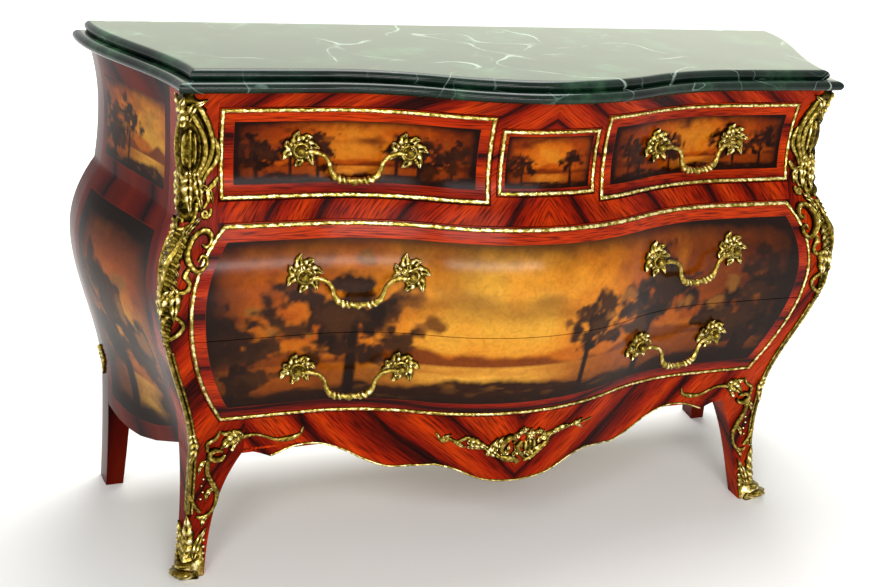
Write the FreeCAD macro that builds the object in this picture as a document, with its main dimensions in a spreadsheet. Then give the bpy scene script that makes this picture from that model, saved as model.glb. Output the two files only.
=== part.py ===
"""Bombe chest: a serpentine, swelling case of five drawers under a moulded marble slab.

Frame: millimetres, +Z up, X to the right, front towards -Y.
The origin lies on the floor under the middle of the chest.
"""
import FreeCAD, Part
import math
import os
import re

from FreeCAD import Vector

doc = FreeCAD.newDocument("bombe_chest")

# Driving sizes: name, value in mm, what it measures
SIZES = [
    ("base_height", 225, "height where the case ends and the legs begin"),
    ("belly_height", 515, "height of the widest swell"),
    ("crease_height", 643, "height of the crease between belly and neck"),
    ("middle_rail", 29.5, "height of the rail between the top row and the belly"),
    ("row_height", 147, "height of the top row's drawer fronts"),
    ("neck_rise", 71, "hollow of the neck above the foot of the top row"),
    ("top_rail", 25, "height of the rail over the top row"),
    ("neck_depth", 345, "back plane to the flat flank of the front, at the neck"),
    ("top_depth_swell", 17, "flank further forward at the top than at the neck"),
    ("crease_depth_swell", 26, "the same at the crease"),
    ("belly_depth_swell", 60, "the same at the belly"),
    ("base_depth_swell", 10, "the same at the base"),
    ("bell_depth", 80, "how far the serpentine bell stands before the flanks"),
    ("bell_half_width", 380, "half width of the bell"),
    ("neck_corner", 582, "half width across the front corners, at the neck"),
    ("top_corner_swell", 4, "corner further out at the top than at the neck"),
    ("crease_corner_swell", 10, "the same at the crease"),
    ("belly_corner_swell", 40, "the same at the belly"),
    ("base_corner_drop", 16, "corner further in at the base than at the neck"),
    ("side_flare", 85, "half width across the back beyond the front corners, at the neck"),
    ("top_width_swell", 15, "half width larger at the top than at the neck"),
    ("crease_width_swell", 8, "the same at the crease"),
    ("belly_width_swell", 53, "the same at the belly"),
    ("base_width_swell", 1, "the same at the base"),
    ("marble_lower_tier", 16.5, "height of the slab's lower moulding"),
    ("marble_upper_tier", 16, "height of the slab's upper moulding"),
    ("marble_overhang_front", 17, "slab beyond the case at the front"),
    ("marble_overhang_side", 25, "slab beyond the case at the sides"),
    ("marble_overhang_corner", 10, "slab beyond the case's front corners"),
    ("marble_step", 20, "upper moulding set back from the lower one"),
    ("marble_round", 10, "rounding of the slab's mouldings"),
    ("frame_depth", 60, "depth of the posts and rails behind the front"),
    ("side_thickness", 22, "thickness of the case sides"),
    ("stile_thickness", 45, "thickness of the back stiles"),
    ("stile_depth", 50, "depth of the back stiles"),
    ("apron_thickness", 30, "thickness of the apron"),
    ("board_thickness", 16, "thickness of the dust board and the bottom board"),
    ("back_thickness", 12, "thickness of the back panel"),
    ("back_foot", 205, "lower edge of the back panel"),
    ("partition_thickness", 8, "thickness of the boards beside the small drawer"),
    ("runner_thickness", 20, "thickness of the long drawer's runners"),
    ("runner_width", 20, "runner under the drawer side, inwards"),
    ("guide_width", 12, "width of the strips that guide the drawers"),
    ("guide_height", 12, "height of the strips that guide the drawers"),
    ("side_arch", 168, "lowest edge of the case sides"),
    ("side_knee", 220, "lower edge of the case sides at the front posts"),
    ("side_heel", 178, "lower edge of the case sides at the back legs"),
    ("post_width", 53, "front post beside the top row, at the neck"),
    ("panel_inset", 60, "belly drawers' corners inside the neck's corners"),
    ("panel_bow", 61, "how far the belly drawers' ends bow out"),
    ("panel_bow_height", 506, "height of that bow"),
    ("panel_bottom", 289, "lower edge of the belly drawers"),
    ("seam_height", 455, "seam between the two belly drawers"),
    ("row_inner", 100, "inner end of the side drawers in the top row"),
    ("centre_half_width", 89, "half width of the small middle drawer"),
    ("centre_margin_low", 14, "small drawer above the foot of the top row"),
    ("centre_margin_high", 21, "small drawer below the head of the top row"),
    ("drawer_gap", 1.5, "gap round each drawer front"),
    ("running_gap", 0.3, "gap under and behind what slides or seats"),
    ("guide_gap", 0.8, "side play of the drawers"),
    ("front_thickness", 28, "thickness of the drawer fronts"),
    ("drawer_side", 12, "thickness of drawer sides and backs"),
    ("drawer_bottom", 8, "thickness of drawer bottoms"),
    ("bottom_rebate", 4, "drawer bottoms above the lower edge of the sides"),
    ("box_headroom", 20, "drawer boxes lower than their fronts"),
    ("box_rear_room", 15, "drawer boxes short of the back panel"),
    ("long_box_inset", 32, "belly drawer boxes inside the front's corners"),
    ("row_box_inset", 14, "top row boxes inside the front's outer end"),
    ("frame_width", 9, "width of the brass frames"),
    ("frame_proud", 3, "brass frames above the veneer"),
    ("apron_arch", 220, "height of the arches in the apron"),
    ("apron_drop", 70, "middle of the apron below its arches"),
    ("knee_width", 88, "width of the front legs at the knee"),
    ("foot_width", 36, "width of the front legs at the floor"),
    ("foot_depth", 36, "depth of the front legs at the floor"),
    ("leg_kick_out", 17, "front feet outside the knees"),
    ("leg_kick_front", 22, "front feet before the knees"),
    ("leg_hollow", 36, "curve of the front legs behind the knee"),
    ("rear_foot_width", 32, "width of the back legs at the floor"),
    ("rear_foot_depth", 46, "depth of the back legs at the floor"),
    ("rear_kick_out", 6, "back feet outside the case base"),
    ("chute_width", 48, "widest reach of the corner mounts over the front"),
    ("chute_thickness", 7, "thickness of the corner mounts"),
    ("chute_foot", 440, "lower end of the corner mounts"),
    ("strip_width", 7, "reach of the thin corner strips each way"),
    ("strip_thickness", 2.5, "thickness of the thin corner strips"),
    ("sabot_height", 110, "height of the brass shoes"),
    ("sabot_thickness", 3, "thickness of the brass shoes"),
    ("sabot_toe", 11, "how far the shoes' scrolled toes stand out"),
    ("mount_thickness", 5, "thickness of the apron and knee mounts"),
    ("mount_gap", 0.6, "play under the apron and knee mounts"),
    ("bead_width", 4, "width of the bead along the apron"),
    ("bead_thickness", 2.5, "thickness of the bead along the apron"),
    ("handle_inner", 228, "inner rosette from the middle of the chest"),
    ("handle_span", 172, "distance between a handle's rosettes"),
    ("row_handle_lift", 4.5, "top row handles above the middle of their fronts"),
    ("upper_handle_lift", 13, "upper belly handles above the middle of their front"),
    ("lower_handle_lift", 17, "lower belly handles above the middle of their front"),
    ("pivot_stand", 20, "handle pivots before the drawer front"),
    ("rosette_radius", 30, "radius of the leafy rosettes"),
    ("rosette_thickness", 6, "thickness of the rosettes"),
    ("boss_radius", 8, "radius of the bosses that carry the bails"),
    ("boss_cap", 7, "boss beyond the pivot"),
    ("pin_radius", 3, "radius of the bail's pins"),
    ("pin_gap", 0.3, "clearance of the pins in the bosses"),
    ("pin_reach", 6, "pins beyond the middle of their bosses"),
    ("arm_gap", 0.6, "play between the bails' arms and the bosses"),
    ("bail_radius", 4, "radius of the bail's arms"),
    ("bail_swell", 2.2, "extra radius of the bail's leafy bottom"),
    ("bail_drop", 46, "drop of the bail below its pivots"),
]

sheet = doc.addObject("Spreadsheet::Sheet", "sizes")
for row, (alias, value, note) in enumerate(SIZES, start=1):
    sheet.set(f"A{row}", note)
    sheet.set(f"B{row}", str(value))
    sheet.setAlias(f"B{row}", alias)
doc.recompute()
ALIASES = {alias for alias, _, _ in SIZES}


def size(alias):
    """Value of one driving size."""
    return float(sheet.get(alias))


# Places that follow from the driving sizes
DERIVED = [
    ("back_plane", "(neck_depth + belly_depth_swell + bell_depth) / 2"),
    ("neck_half_width", "neck_corner + side_flare"),
    ("row_bottom", "crease_height + middle_rail + drawer_gap"),
    ("row_top", "row_bottom + row_height"),
    ("case_top", "row_top + drawer_gap + top_rail"),
    ("row_outer", "neck_corner - post_width"),
    ("row_floor", "row_bottom - drawer_gap"),
    ("row_ceiling", "row_top + drawer_gap"),
    ("panel_top", "crease_height - drawer_gap"),
    ("panel_end", "neck_corner - panel_inset"),
    ("panel_floor", "panel_bottom - drawer_gap"),
    ("centre_bottom", "row_bottom + centre_margin_low"),
    ("centre_top", "row_top - centre_margin_high"),
    ("centre_floor", "centre_bottom - drawer_gap"),
    ("apron_end", "neck_corner - base_corner_drop - knee_width"),
    ("stile_front", "back_plane - stile_depth"),
    ("panel_face", "back_plane - back_thickness"),
    ("box_back", "panel_face - box_rear_room"),
    ("runner_top", "seam_height + drawer_gap"),
    ("runner_bottom", "runner_top - runner_thickness"),
    ("long_box_half", "panel_end - long_box_inset"),
    ("row_box_end", "row_outer - row_box_inset"),
]
derived = doc.addObject("App::VarSet", "derived")
PLACES = {name for name, _ in DERIVED}


def bound(text):
    """Expression text with each size named by the object that holds it."""
    def full(match):
        word = match.group()
        if word in ALIASES:
            return "sizes." + word
        return "derived." + word if word in PLACES else word
    return re.sub(r"[a-z_]+", full, text)


for name, text in DERIVED:
    derived.addProperty("App::PropertyFloat", name, "Places")
    derived.setExpression(name, bound(text))
doc.recompute()


def place(name):
    """Value of one derived place."""
    return float(getattr(derived, name))


# The bombe form: three guide lines rise through five levels
FAR = 2 * place("neck_half_width")
BACK = place("back_plane")
LEVELS = {
    "base": size("base_height"),
    "belly": size("belly_height"),
    "crease": size("crease_height"),
    "neck": place("row_bottom") + size("neck_rise"),
    "top": place("case_top"),
}
DEPTHS = {
    "base": size("neck_depth") + size("base_depth_swell"),
    "belly": size("neck_depth") + size("belly_depth_swell"),
    "crease": size("neck_depth") + size("crease_depth_swell"),
    "neck": size("neck_depth"),
    "top": size("neck_depth") + size("top_depth_swell"),
}
CORNERS = {
    "base": size("neck_corner") - size("base_corner_drop"),
    "belly": size("neck_corner") + size("belly_corner_swell"),
    "crease": size("neck_corner") + size("crease_corner_swell"),
    "neck": size("neck_corner"),
    "top": size("neck_corner") + size("top_corner_swell"),
}
WIDTHS = {
    "base": place("neck_half_width") + size("base_width_swell"),
    "belly": place("neck_half_width") + size("belly_width_swell"),
    "crease": place("neck_half_width") + size("crease_width_swell"),
    "neck": place("neck_half_width"),
    "top": place("neck_half_width") + size("top_width_swell"),
}


def swell(values, z):
    """Smooth guide line: parabolas about neck and belly, a smooth step down to the base."""
    if z >= LEVELS["crease"]:
        end = "top" if z >= LEVELS["neck"] else "crease"
        share = (z - LEVELS["neck"]) / (LEVELS[end] - LEVELS["neck"])
        return values["neck"] + (values[end] - values["neck"]) * share ** 2
    if z >= LEVELS["belly"]:
        share = (z - LEVELS["belly"]) / (LEVELS["crease"] - LEVELS["belly"])
        return values["belly"] + (values["crease"] - values["belly"]) * share ** 2
    share = min((LEVELS["belly"] - z) / (LEVELS["belly"] - LEVELS["base"]), 1)
    return values["belly"] + (values["base"] - values["belly"]) * share ** 2 * (3 - 2 * share)


def between(low, high, count):
    """Evenly spaced values from low up to high."""
    return [low + (high - low) * step / count for step in range(count + 1)]


# Heights of the sections that shape the belly, with the skirt under it, and the neck
RISING, CLOSING, NECKING = 6, 3, 2
SKIRT = (size("apron_arch") - size("apron_drop")) / 2
BELLY_STATIONS = ([SKIRT] + between(LEVELS["base"], LEVELS["belly"], RISING)
                  + between(LEVELS["belly"], LEVELS["crease"], CLOSING)[1:])
NECK_STATIONS = (between(LEVELS["crease"], LEVELS["neck"], NECKING)
                 + between(LEVELS["neck"], LEVELS["top"], NECKING)[1:])
STATIONS = {"belly": BELLY_STATIONS, "neck": NECK_STATIONS}
ALL_STATIONS = BELLY_STATIONS + NECK_STATIONS[1:]


def guide(values, z):
    """Guide line at height z, straight from section to section."""
    if z <= ALL_STATIONS[0] or z >= ALL_STATIONS[-1]:
        return swell(values, z)
    low = max(station for station in ALL_STATIONS if station <= z)
    high = min(station for station in ALL_STATIONS if station > z)
    share = (z - low) / (high - low)
    return swell(values, low) * (1 - share) + swell(values, high) * share


def flank_y(z):
    """Y of the flat flanks of the front at height z."""
    return BACK - guide(DEPTHS, z)


BELL = size("bell_half_width")
BELL_RADIUS = (BELL ** 2 + size("bell_depth") ** 2) / (4 * size("bell_depth"))
BELL_CHORDS = 16
BELL_STATIONS = between(-BELL, BELL, BELL_CHORDS)


def bell_arc(x):
    """How far the serpentine stands before the flanks at x: two equal tangent arcs."""
    x = abs(x)
    if x >= BELL / 2:
        return BELL_RADIUS - math.sqrt(BELL_RADIUS ** 2 - (BELL - x) ** 2)
    return size("bell_depth") - BELL_RADIUS + math.sqrt(BELL_RADIUS ** 2 - x ** 2)


def bell(x):
    """The serpentine at x, straight from section to section."""
    if abs(x) >= BELL:
        return 0.0
    low = max(station for station in BELL_STATIONS if station <= x)
    high = min(station for station in BELL_STATIONS if station > x)
    share = (x - low) / (high - low)
    return bell_arc(low) * (1 - share) + bell_arc(high) * share


def front_y(x, z):
    """Y of the veneered front at x, z."""
    return flank_y(z) - bell(x)


# The sides run from corner to back as a slack ogee: the second pole stays near the corner
OGEE_LEAN = 0.1
SIDE_CHORDS = 6
SIDE_SHARES = between(0, 1, SIDE_CHORDS)


def side_points(corner, width, front, inset=0):
    """A right side in plan, from its front corner to the back: points of a cubic curve."""
    lean = corner + OGEE_LEAN * (width - corner)
    points = []
    for share in SIDE_SHARES:
        rest = 1 - share
        x = rest ** 3 * corner + 3 * rest ** 2 * share * lean + (3 * rest + share) * share ** 2 * width
        points.append((x - inset, front + share * (BACK - front)))
    return points


def side_at(z, inset=0):
    """The right side in plan at height z."""
    return side_points(guide(CORNERS, z), guide(WIDTHS, z), flank_y(z), inset)


def side_x(y, z):
    """X of the right side at depth y and height z."""
    points = side_at(z)
    low, high = next(((a, b) for a, b in zip(points, points[1:]) if y <= b[1]), points[-2:])
    share = (y - low[1]) / (high[1] - low[1])
    return low[0] + (high[0] - low[0]) * share


def front_points(y, end):
    """The serpentine front at flank depth y, from end across to -end."""
    middle = [(x, y - bell(x)) for x in reversed(BELL_STATIONS)]
    return [(end, y)] + middle + [(-end, y)]


def polygon(points):
    corners = [Vector(*point) for point in points]
    return Part.makePolygon(corners + corners[:1])


def line(start, end):
    return Part.LineSegment(Vector(*start), Vector(*end)).toShape()


def plan(points, z):
    """Closed outline in plan at height z."""
    return polygon([(x, y, z) for x, y in points])


def plan_points(front, corner, width):
    """Plan of the chest: right side, serpentine front, left side; the back closes it."""
    side = side_points(corner, width, front)
    return side[::-1] + front_points(front, corner)[1:-1] + [(-x, y) for x, y in side]


def feature(name, shape):
    """Document object that holds a shape made here."""
    obj = doc.addObject("Part::Feature", name)
    obj.Shape = shape
    return obj


def loft(name, level, outline):
    """Form through the sections of a level; outline gives its plan at a height."""
    wires = [plan(outline(z), z) for z in STATIONS[level]]
    return feature(f"{name}_{level}", Part.makeLoft(wires, True, True))


def case_form(level):
    """Outer form of the case."""
    return loft("case", level, lambda z: plan_points(flank_y(z), guide(CORNERS, z), guide(WIDTHS, z)))


def front_layer(level, near, far, name):
    """Layer that follows the serpentine front, from near to far behind the veneer."""
    return loft(name, level, lambda z: (
        front_points(flank_y(z) + near, FAR) + front_points(flank_y(z) + far, FAR)[::-1]))


def side_layer(level, thickness, name):
    """Layer that follows the right side, from its veneer inwards."""
    return loft(name, level, lambda z: side_at(z) + side_at(z, thickness)[::-1])


def inner_form(level, inset, name):
    """Room inside the case sides, inset from both."""
    def outline(z):
        side = side_at(z, inset)
        nose = (side[0][0], side[0][1] - size("bell_depth"))
        right = [nose] + side
        return right + [(-x, y) for x, y in reversed(right)]
    return loft(name, level, outline)


LEVEL_NAMES = ("belly", "neck")
DEEP = 2 * (size("neck_depth") + size("belly_depth_swell") + size("bell_depth"))
case = {level: case_form(level) for level in LEVEL_NAMES}
behind_posts = {v: front_layer(v, size("frame_depth"), DEEP, "behind_posts") for v in LEVEL_NAMES}
behind_fronts = {v: front_layer(v, size("front_thickness"), DEEP, "behind_fronts") for v in LEVEL_NAMES}
post_layer = {v: front_layer(v, -DEEP, size("frame_depth"), "post_layer") for v in LEVEL_NAMES}
front_layers = {v: front_layer(v, 0, size("front_thickness"), "front") for v in LEVEL_NAMES}
rail_layer = front_layer("neck", 0, size("frame_depth"), "rail")
apron_layer = front_layer("belly", 0, size("apron_thickness"), "apron")
apron_ledge = front_layer("belly", size("apron_thickness"), size("frame_depth"), "ledge")
brass_layer = {v: front_layer(v, -size("frame_proud"), 0, "brass") for v in LEVEL_NAMES}
side_skin = {v: side_layer(v, size("side_thickness"), "side") for v in LEVEL_NAMES}
stile_skin = {v: side_layer(v, size("stile_thickness"), "stile") for v in LEVEL_NAMES}
room = {v: inner_form(v, size("side_thickness"), "room") for v in LEVEL_NAMES}
stile_room = {v: inner_form(v, size("stile_thickness"), "stile_room") for v in LEVEL_NAMES}


# Building blocks
nodes = []


def keep(obj, label):
    """Name a finished piece; its label names its file."""
    obj.Label = label
    nodes.append(obj)
    return obj


def box(name, x, y, z):
    """Box between pairs of expressions along x, y and z."""
    obj = doc.addObject("Part::Box", name)
    for side, axis, (low, high) in zip(("Length", "Width", "Height"), "xyz", (x, y, z)):
        obj.setExpression(side, bound(f"({high}) - ({low})"))
        obj.setExpression(f"Placement.Base.{axis}", bound(low))
    return obj


def common(name, *shapes):
    obj = doc.addObject("Part::MultiCommon", name)
    obj.Shapes = list(shapes)
    return obj


def cut(name, base, tool):
    obj = doc.addObject("Part::Cut", name)
    obj.Base = base
    obj.Tool = tool
    return obj


def fuse(name, *shapes):
    obj = doc.addObject("Part::MultiFuse", name)
    obj.Shapes = list(shapes)
    return obj


def mirror(name, source):
    """The same piece on the other side of the chest."""
    obj = doc.addObject("Part::Mirroring", name)
    obj.Source = source
    obj.Normal = Vector(1, 0, 0)
    return obj


def group(name, *pieces):
    """Separate solids that share one node."""
    obj = doc.addObject("Part::Compound", name)
    obj.Links = list(pieces)
    return obj


def pair(label, right):
    """A right piece and its mirror image as one node."""
    return keep(group(label, right, mirror(label + "_left", right)), label)


def both_sides(stem, right):
    """A right piece and its mirror image as two nodes."""
    keep(right, stem + "_right")
    return keep(mirror(stem + "_left", right), stem + "_left")


WHOLE_X = (f"-{FAR}", f"{FAR}")
WHOLE_Y = (f"-{FAR}", f"{FAR}")
BEFORE_STILE = (f"-{FAR}", "stile_front")


# Marble slab: two tiers whose edges round out and in again
TIER_STEPS = 5
LOWER_TURNS = (-65, 75)
UPPER_TURNS = (-50, 90)


def tier(name, low, high, reach, turns):
    """One tier; its edge follows an arc between two turns from the level line."""
    first, last = [math.radians(turn) for turn in turns]
    wires = []
    for turn in between(first, last, TIER_STEPS):
        rise = (math.sin(turn) - math.sin(first)) / (math.sin(last) - math.sin(first))
        out = reach - size("marble_round") * (1 - math.cos(turn))
        front = flank_y(LEVELS["top"]) - size("marble_overhang_front") - out
        corner = CORNERS["top"] + size("marble_overhang_corner") + out
        width = WIDTHS["top"] + size("marble_overhang_side") + out
        wires.append(plan(plan_points(front, corner, width), low + rise * (high - low)))
    return feature(name, Part.makeLoft(wires, True, True))


slab_foot = place("case_top")
slab_waist = slab_foot + size("marble_lower_tier")
slab_top = slab_waist + size("marble_upper_tier")
lower_tier = tier("lower_tier", slab_foot, slab_waist, 0, LOWER_TURNS)
upper_tier = tier("upper_tier", slab_waist, slab_top, -size("marble_step"), UPPER_TURNS)
keep(fuse("slab", lower_tier, upper_tier), "marble_top")


# Front legs: a cabriole of square section that kicks forward and out at the foot
LEG_STEPS = 8
LEG_TAPER = 2.6
BASE_Y = flank_y(LEVELS["base"])
SIDE_SLOPE = (side_x(BASE_Y + size("frame_depth"), LEVELS["base"]) - CORNERS["base"]) / size("frame_depth")


def arris(z):
    """Outer front corner of case and leg at height z."""
    if z >= LEVELS["base"]:
        return guide(CORNERS, z), flank_y(z)
    down = 1 - z / LEVELS["base"]
    out = CORNERS["base"] + size("leg_kick_out") * down ** 2
    swing = size("leg_hollow") * down * (1 - down) - size("leg_kick_front") * down ** 2
    return out, BASE_Y + swing


def leg_sizes(z):
    """Width and depth of a front leg at height z, tapering to the foot."""
    taper = (z / LEVELS["base"]) ** LEG_TAPER
    width = size("foot_width") + (size("knee_width") - size("foot_width")) * taper
    depth = size("foot_depth") + (size("frame_depth") - size("foot_depth")) * taper
    return width, depth


def facets(rings):
    """Solid of plane triangles between rings of points, closed by its first and last ring."""
    faces = [Part.Face(polygon(rings[0])), Part.Face(polygon(rings[-1]))]
    for near, far in zip(rings, rings[1:]):
        for step in range(len(near)):
            faces.append(Part.Face(polygon([near[step - 1], near[step], far[step]])))
            faces.append(Part.Face(polygon([near[step - 1], far[step], far[step - 1]])))
    shell = Part.makeShell(faces)
    shell.sewShape()
    solid = Part.makeSolid(shell)
    if solid.Volume < 0:
        solid.reverse()
    return solid


def leg_section(z):
    x, y = arris(z)
    width, depth = leg_sizes(z)
    rear = y + depth
    return polygon([(x, y, z), (x - width, y, z), (x - width, rear, z), (x + SIDE_SLOPE * depth, rear, z)])


front_leg = feature("front_leg", Part.makeLoft(
    [leg_section(z) for z in between(0, LEVELS["base"], LEG_STEPS)], True, True))


# The belly drawers share one outline whose ends bow out in two tangent arcs
def panel_wire(grow, y):
    """Outline of the belly drawers, grown all round."""
    low = size("panel_bottom") - grow
    high = place("panel_top") + grow
    end = place("panel_end") + grow
    wide = end + size("panel_bow")
    bow = size("panel_bow_height")

    def arc(z, way):
        """Arc from the bow to a corner, upright at the bow."""
        rise = z - bow
        radius = (rise ** 2 + size("panel_bow") ** 2) / (2 * size("panel_bow"))
        half = math.asin(abs(rise) / radius) / 2
        middle = (wide - radius * (1 - math.cos(half)), bow + math.copysign(radius * math.sin(half), rise))
        points = [(wide, bow), middle, (end, z)]
        return Part.Arc(*[Vector(way * x, y, height) for x, height in points]).toShape()

    edges = [line((-end, y, low), (end, y, low)), arc(low, 1), arc(high, 1)]
    edges += [line((end, y, high), (-end, y, high)), arc(high, -1), arc(low, -1)]
    return Part.Wire(Part.__sortEdges__(edges))


def panel_prism(name, grow):
    face = Part.Face(panel_wire(grow, -DEEP))
    return feature(name, face.extrude(Vector(0, 2 * DEEP, 0)))


panel = panel_prism("panel", 0)
panel_hole = panel_prism("panel_hole", size("drawer_gap"))
panel_inside = panel_prism("panel_inside", -size("frame_width"))
frame_ring = cut("frame_ring", panel, panel_inside)


# Front posts: stile and leg of one piece
post_low = common("post_low", case["belly"], post_layer["belly"], box(
    "post_low_zone", ("apron_end", f"{FAR}"), WHOLE_Y, ("base_height", "crease_height")))
post_belly = cut("post_belly", post_low, panel_hole)
post_neck = common("post_neck", case["neck"], post_layer["neck"], box(
    "post_neck_zone", ("row_outer + drawer_gap", f"{FAR}"), WHOLE_Y, ("crease_height", "case_top")))
both_sides("front_post", fuse("front_post", post_neck, post_belly, front_leg))


# Back legs: flat-backed stile and plain sabre leg of one piece
REAR_SLANT = WIDTHS["base"] - side_x(place("stile_front"), LEVELS["base"])


def rear_section(z):
    """Section of a back leg at height z, its outer face slanted as the case side is."""
    rise = z / LEVELS["base"]
    out = WIDTHS["base"] + size("rear_kick_out") * (1 - rise) ** 2
    width = size("rear_foot_width") + (size("stile_thickness") - size("rear_foot_width")) * rise
    depth = size("rear_foot_depth") + (size("stile_depth") - size("rear_foot_depth")) * rise
    slant = REAR_SLANT * depth / size("stile_depth")
    front = BACK - depth
    points = [(out, BACK), (out - width, BACK), (out - width - slant, front), (out - slant, front)]
    return plan(points, z)


rear_leg = feature("rear_leg", Part.makeLoft(
    [rear_section(z) for z in between(0, LEVELS["base"], LEG_STEPS)], True, True))
stile_belly = common("stile_belly", stile_skin["belly"], box(
    "stile_belly_zone", ("0", f"{FAR}"), ("stile_front", "back_plane"), ("base_height", "crease_height")))
stile_neck = common("stile_neck", stile_skin["neck"], box(
    "stile_neck_zone", ("0", f"{FAR}"), ("stile_front", "back_plane"), ("crease_height", "case_top")))
both_sides("back_leg", fuse("back_leg", stile_neck, stile_belly, rear_leg))


# Case sides: swelling shells between post and back stile, arched below
ARCH_SHARE = 0.625
CUT_MARGIN = 1


def side_cutter():
    """What lies under the arched lower edge of a side, in the y, z plane."""
    front = BASE_Y + size("frame_depth")
    heel = place("stile_front")
    low = front + (heel - front) * ARCH_SHARE
    arch = Part.BSplineCurve()
    start, end = front - CUT_MARGIN, heel + CUT_MARGIN
    arch.interpolate([Vector(0, start, size("side_knee")), Vector(0, low, size("side_arch")),
                      Vector(0, end, size("side_heel"))])
    ends = [(0, end, size("side_heel")), (0, end, 0), (0, start, 0), (0, start, size("side_knee"))]
    legs = [line(near, far) for near, far in zip(ends, ends[1:])]
    face = Part.Face(Part.Wire([arch.toShape()] + legs))
    return feature("side_arch_room", face.extrude(Vector(FAR, 0, 0)))


side_belly = common("side_belly", side_skin["belly"], behind_posts["belly"], box(
    "side_belly_zone", ("0", f"{FAR}"), BEFORE_STILE, ("0", "crease_height")))
side_neck = common("side_neck", side_skin["neck"], behind_posts["neck"], box(
    "side_neck_zone", ("0", f"{FAR}"), BEFORE_STILE, ("crease_height", "case_top")))
side_arched = cut("side_arched", side_belly, side_cutter())
both_sides("case_side", fuse("case_side", side_neck, side_arched))


# Back panel: a flat board cut to the stiles' inner line
def back_board():
    heights_up = [size("back_foot")] + [z for z in ALL_STATIONS if z > size("back_foot")]
    right = [(side_at(z, size("stile_thickness") + size("running_gap"))[-1][0], z) for z in heights_up]
    fall = WIDTHS["belly"] - side_x(place("panel_face"), LEVELS["belly"])
    right = [(x - fall, z) for x, z in right]
    outline = right + [(-x, z) for x, z in reversed(right)]
    face = Part.Face(polygon([(x, place("panel_face"), z) for x, z in outline]))
    return feature("back_board", face.extrude(Vector(0, size("back_thickness"), 0)))


keep(back_board(), "back_panel")


# Front rails and the pierced frame of the small drawer
ROW_X = ("-(row_outer + drawer_gap)", "row_outer + drawer_gap")
keep(common("top_rail_piece", rail_layer, box(
    "top_rail_zone", ROW_X, WHOLE_Y, ("row_ceiling", "case_top"))), "top_rail")
keep(common("middle_rail_piece", rail_layer, box(
    "middle_rail_zone", ROW_X, WHOLE_Y, ("crease_height", "row_floor"))), "middle_rail")
PIER_X = ("-(row_inner - drawer_gap)", "row_inner - drawer_gap")
pier = common("pier", rail_layer, box("pier_zone", PIER_X, WHOLE_Y, ("row_floor", "row_ceiling")))
window = box("pier_window", ("-(centre_half_width + drawer_gap)", "centre_half_width + drawer_gap"),
             WHOLE_Y, ("centre_floor", "centre_top + drawer_gap"))
keep(cut("pierced_pier", pier, window), "centre_frame")


# Apron: the scrolled skirt under the belly drawers
APRON_DROP = [(0, 1), (0.13, 0.9), (0.24, 0.58), (0.31, 0.47)]
APRON_LOBE = [(0.31, 0.47), (0.39, 0.55), (0.47, 0.62), (0.55, 0.46), (0.63, 0.18),
              (0.72, -0.04), (0.81, -0.04), (0.9, 0.17)]
APRON_ARCH = [(0.9, 0.17), (0.96, 0), (1, -0.03)]


def apron_point(share, fall, way):
    """Point of the apron's lower edge: share of its half length, share of its drop."""
    return Vector(way * share * place("apron_end"), 0, size("apron_arch") - fall * size("apron_drop"))


EDGE_STEPS = 7


def apron_edge(points, way):
    """Points of one smooth stretch of the apron's lower edge."""
    curve = Part.BSplineCurve()
    curve.interpolate([apron_point(share, fall, way) for share, fall in points])
    return curve.discretize(EDGE_STEPS)


def apron_half(stretches, way):
    """Lower edge from the middle outwards."""
    edge = apron_edge(stretches[0], way)
    for stretch in stretches[1:]:
        edge += apron_edge(stretch, way)[1:]
    return edge


apron_right = apron_half((APRON_DROP, APRON_LOBE, APRON_ARCH), 1)
apron_left = apron_half((APRON_DROP, APRON_LOBE, APRON_ARCH), -1)
apron_head = [Vector(way * place("apron_end"), 0, place("panel_floor")) for way in (1, -1)]
apron_face = Part.Face(polygon(apron_right + apron_head + apron_left[:0:-1]))
apron_face.translate(Vector(0, -DEEP, 0))
apron_prism = feature("apron_prism", apron_face.extrude(Vector(0, 2 * DEEP, 0)))
keep(common("apron_piece", apron_layer, apron_prism), "apron")


# Boards inside the case, notched round the back stiles
def board(label, level, low, high, *more):
    """Board from the posts' back to the back panel, between the case sides."""
    main = common(label + "_main", room[level], behind_posts[level], box(
        label + "_zone", WHOLE_X, BEFORE_STILE, (low, high)))
    rear = common(label + "_rear", stile_room[level], box(
        label + "_rear_zone", WHOLE_X, ("stile_front", "panel_face"), (low, high)))
    return keep(fuse(label + "_whole", main, rear, *more), label)


board("top_board", "neck", "row_ceiling", "case_top")
board("dust_board", "neck", "row_floor - board_thickness", "row_floor")
ledge = common("bottom_ledge", apron_ledge, box(
    "ledge_zone", ("-apron_end", "apron_end"), WHOLE_Y, ("panel_floor - board_thickness", "panel_floor")))
board("bottom_board", "belly", "panel_floor - board_thickness", "panel_floor", ledge)

PARTITION_X = ("row_inner - drawer_gap - partition_thickness", "row_inner - drawer_gap")
pair("partitions", common("partition", behind_posts["neck"], box(
    "partition_zone", PARTITION_X, (f"-{FAR}", "panel_face"), ("row_floor", "row_ceiling"))))

# Runners: a ledge along each side for the upper belly drawer, a raised floor for the small one
long_runner = common("long_runner", room["belly"], behind_posts["belly"], box(
    "runner_zone", ("long_box_half - runner_width", f"{FAR}"), BEFORE_STILE, ("runner_bottom", "runner_top")))
small_runner = common("small_runner", behind_posts["neck"], box(
    "small_runner_zone", ("-(row_inner - drawer_gap - partition_thickness)",
                          "row_inner - drawer_gap - partition_thickness"),
    (f"-{FAR}", "panel_face"), ("row_floor", "centre_floor")))
keep(group("runners", long_runner, mirror("long_runner_left", long_runner), small_runner), "drawer_runners")


# Guide strips beside the drawer boxes
def strip(name, level, inner, low):
    return common(name, behind_posts[level], box(
        name + "_zone", (f"{inner} + guide_gap", f"{inner} + guide_gap + guide_width"),
        BEFORE_STILE, (low, f"{low} + guide_height")))


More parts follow.
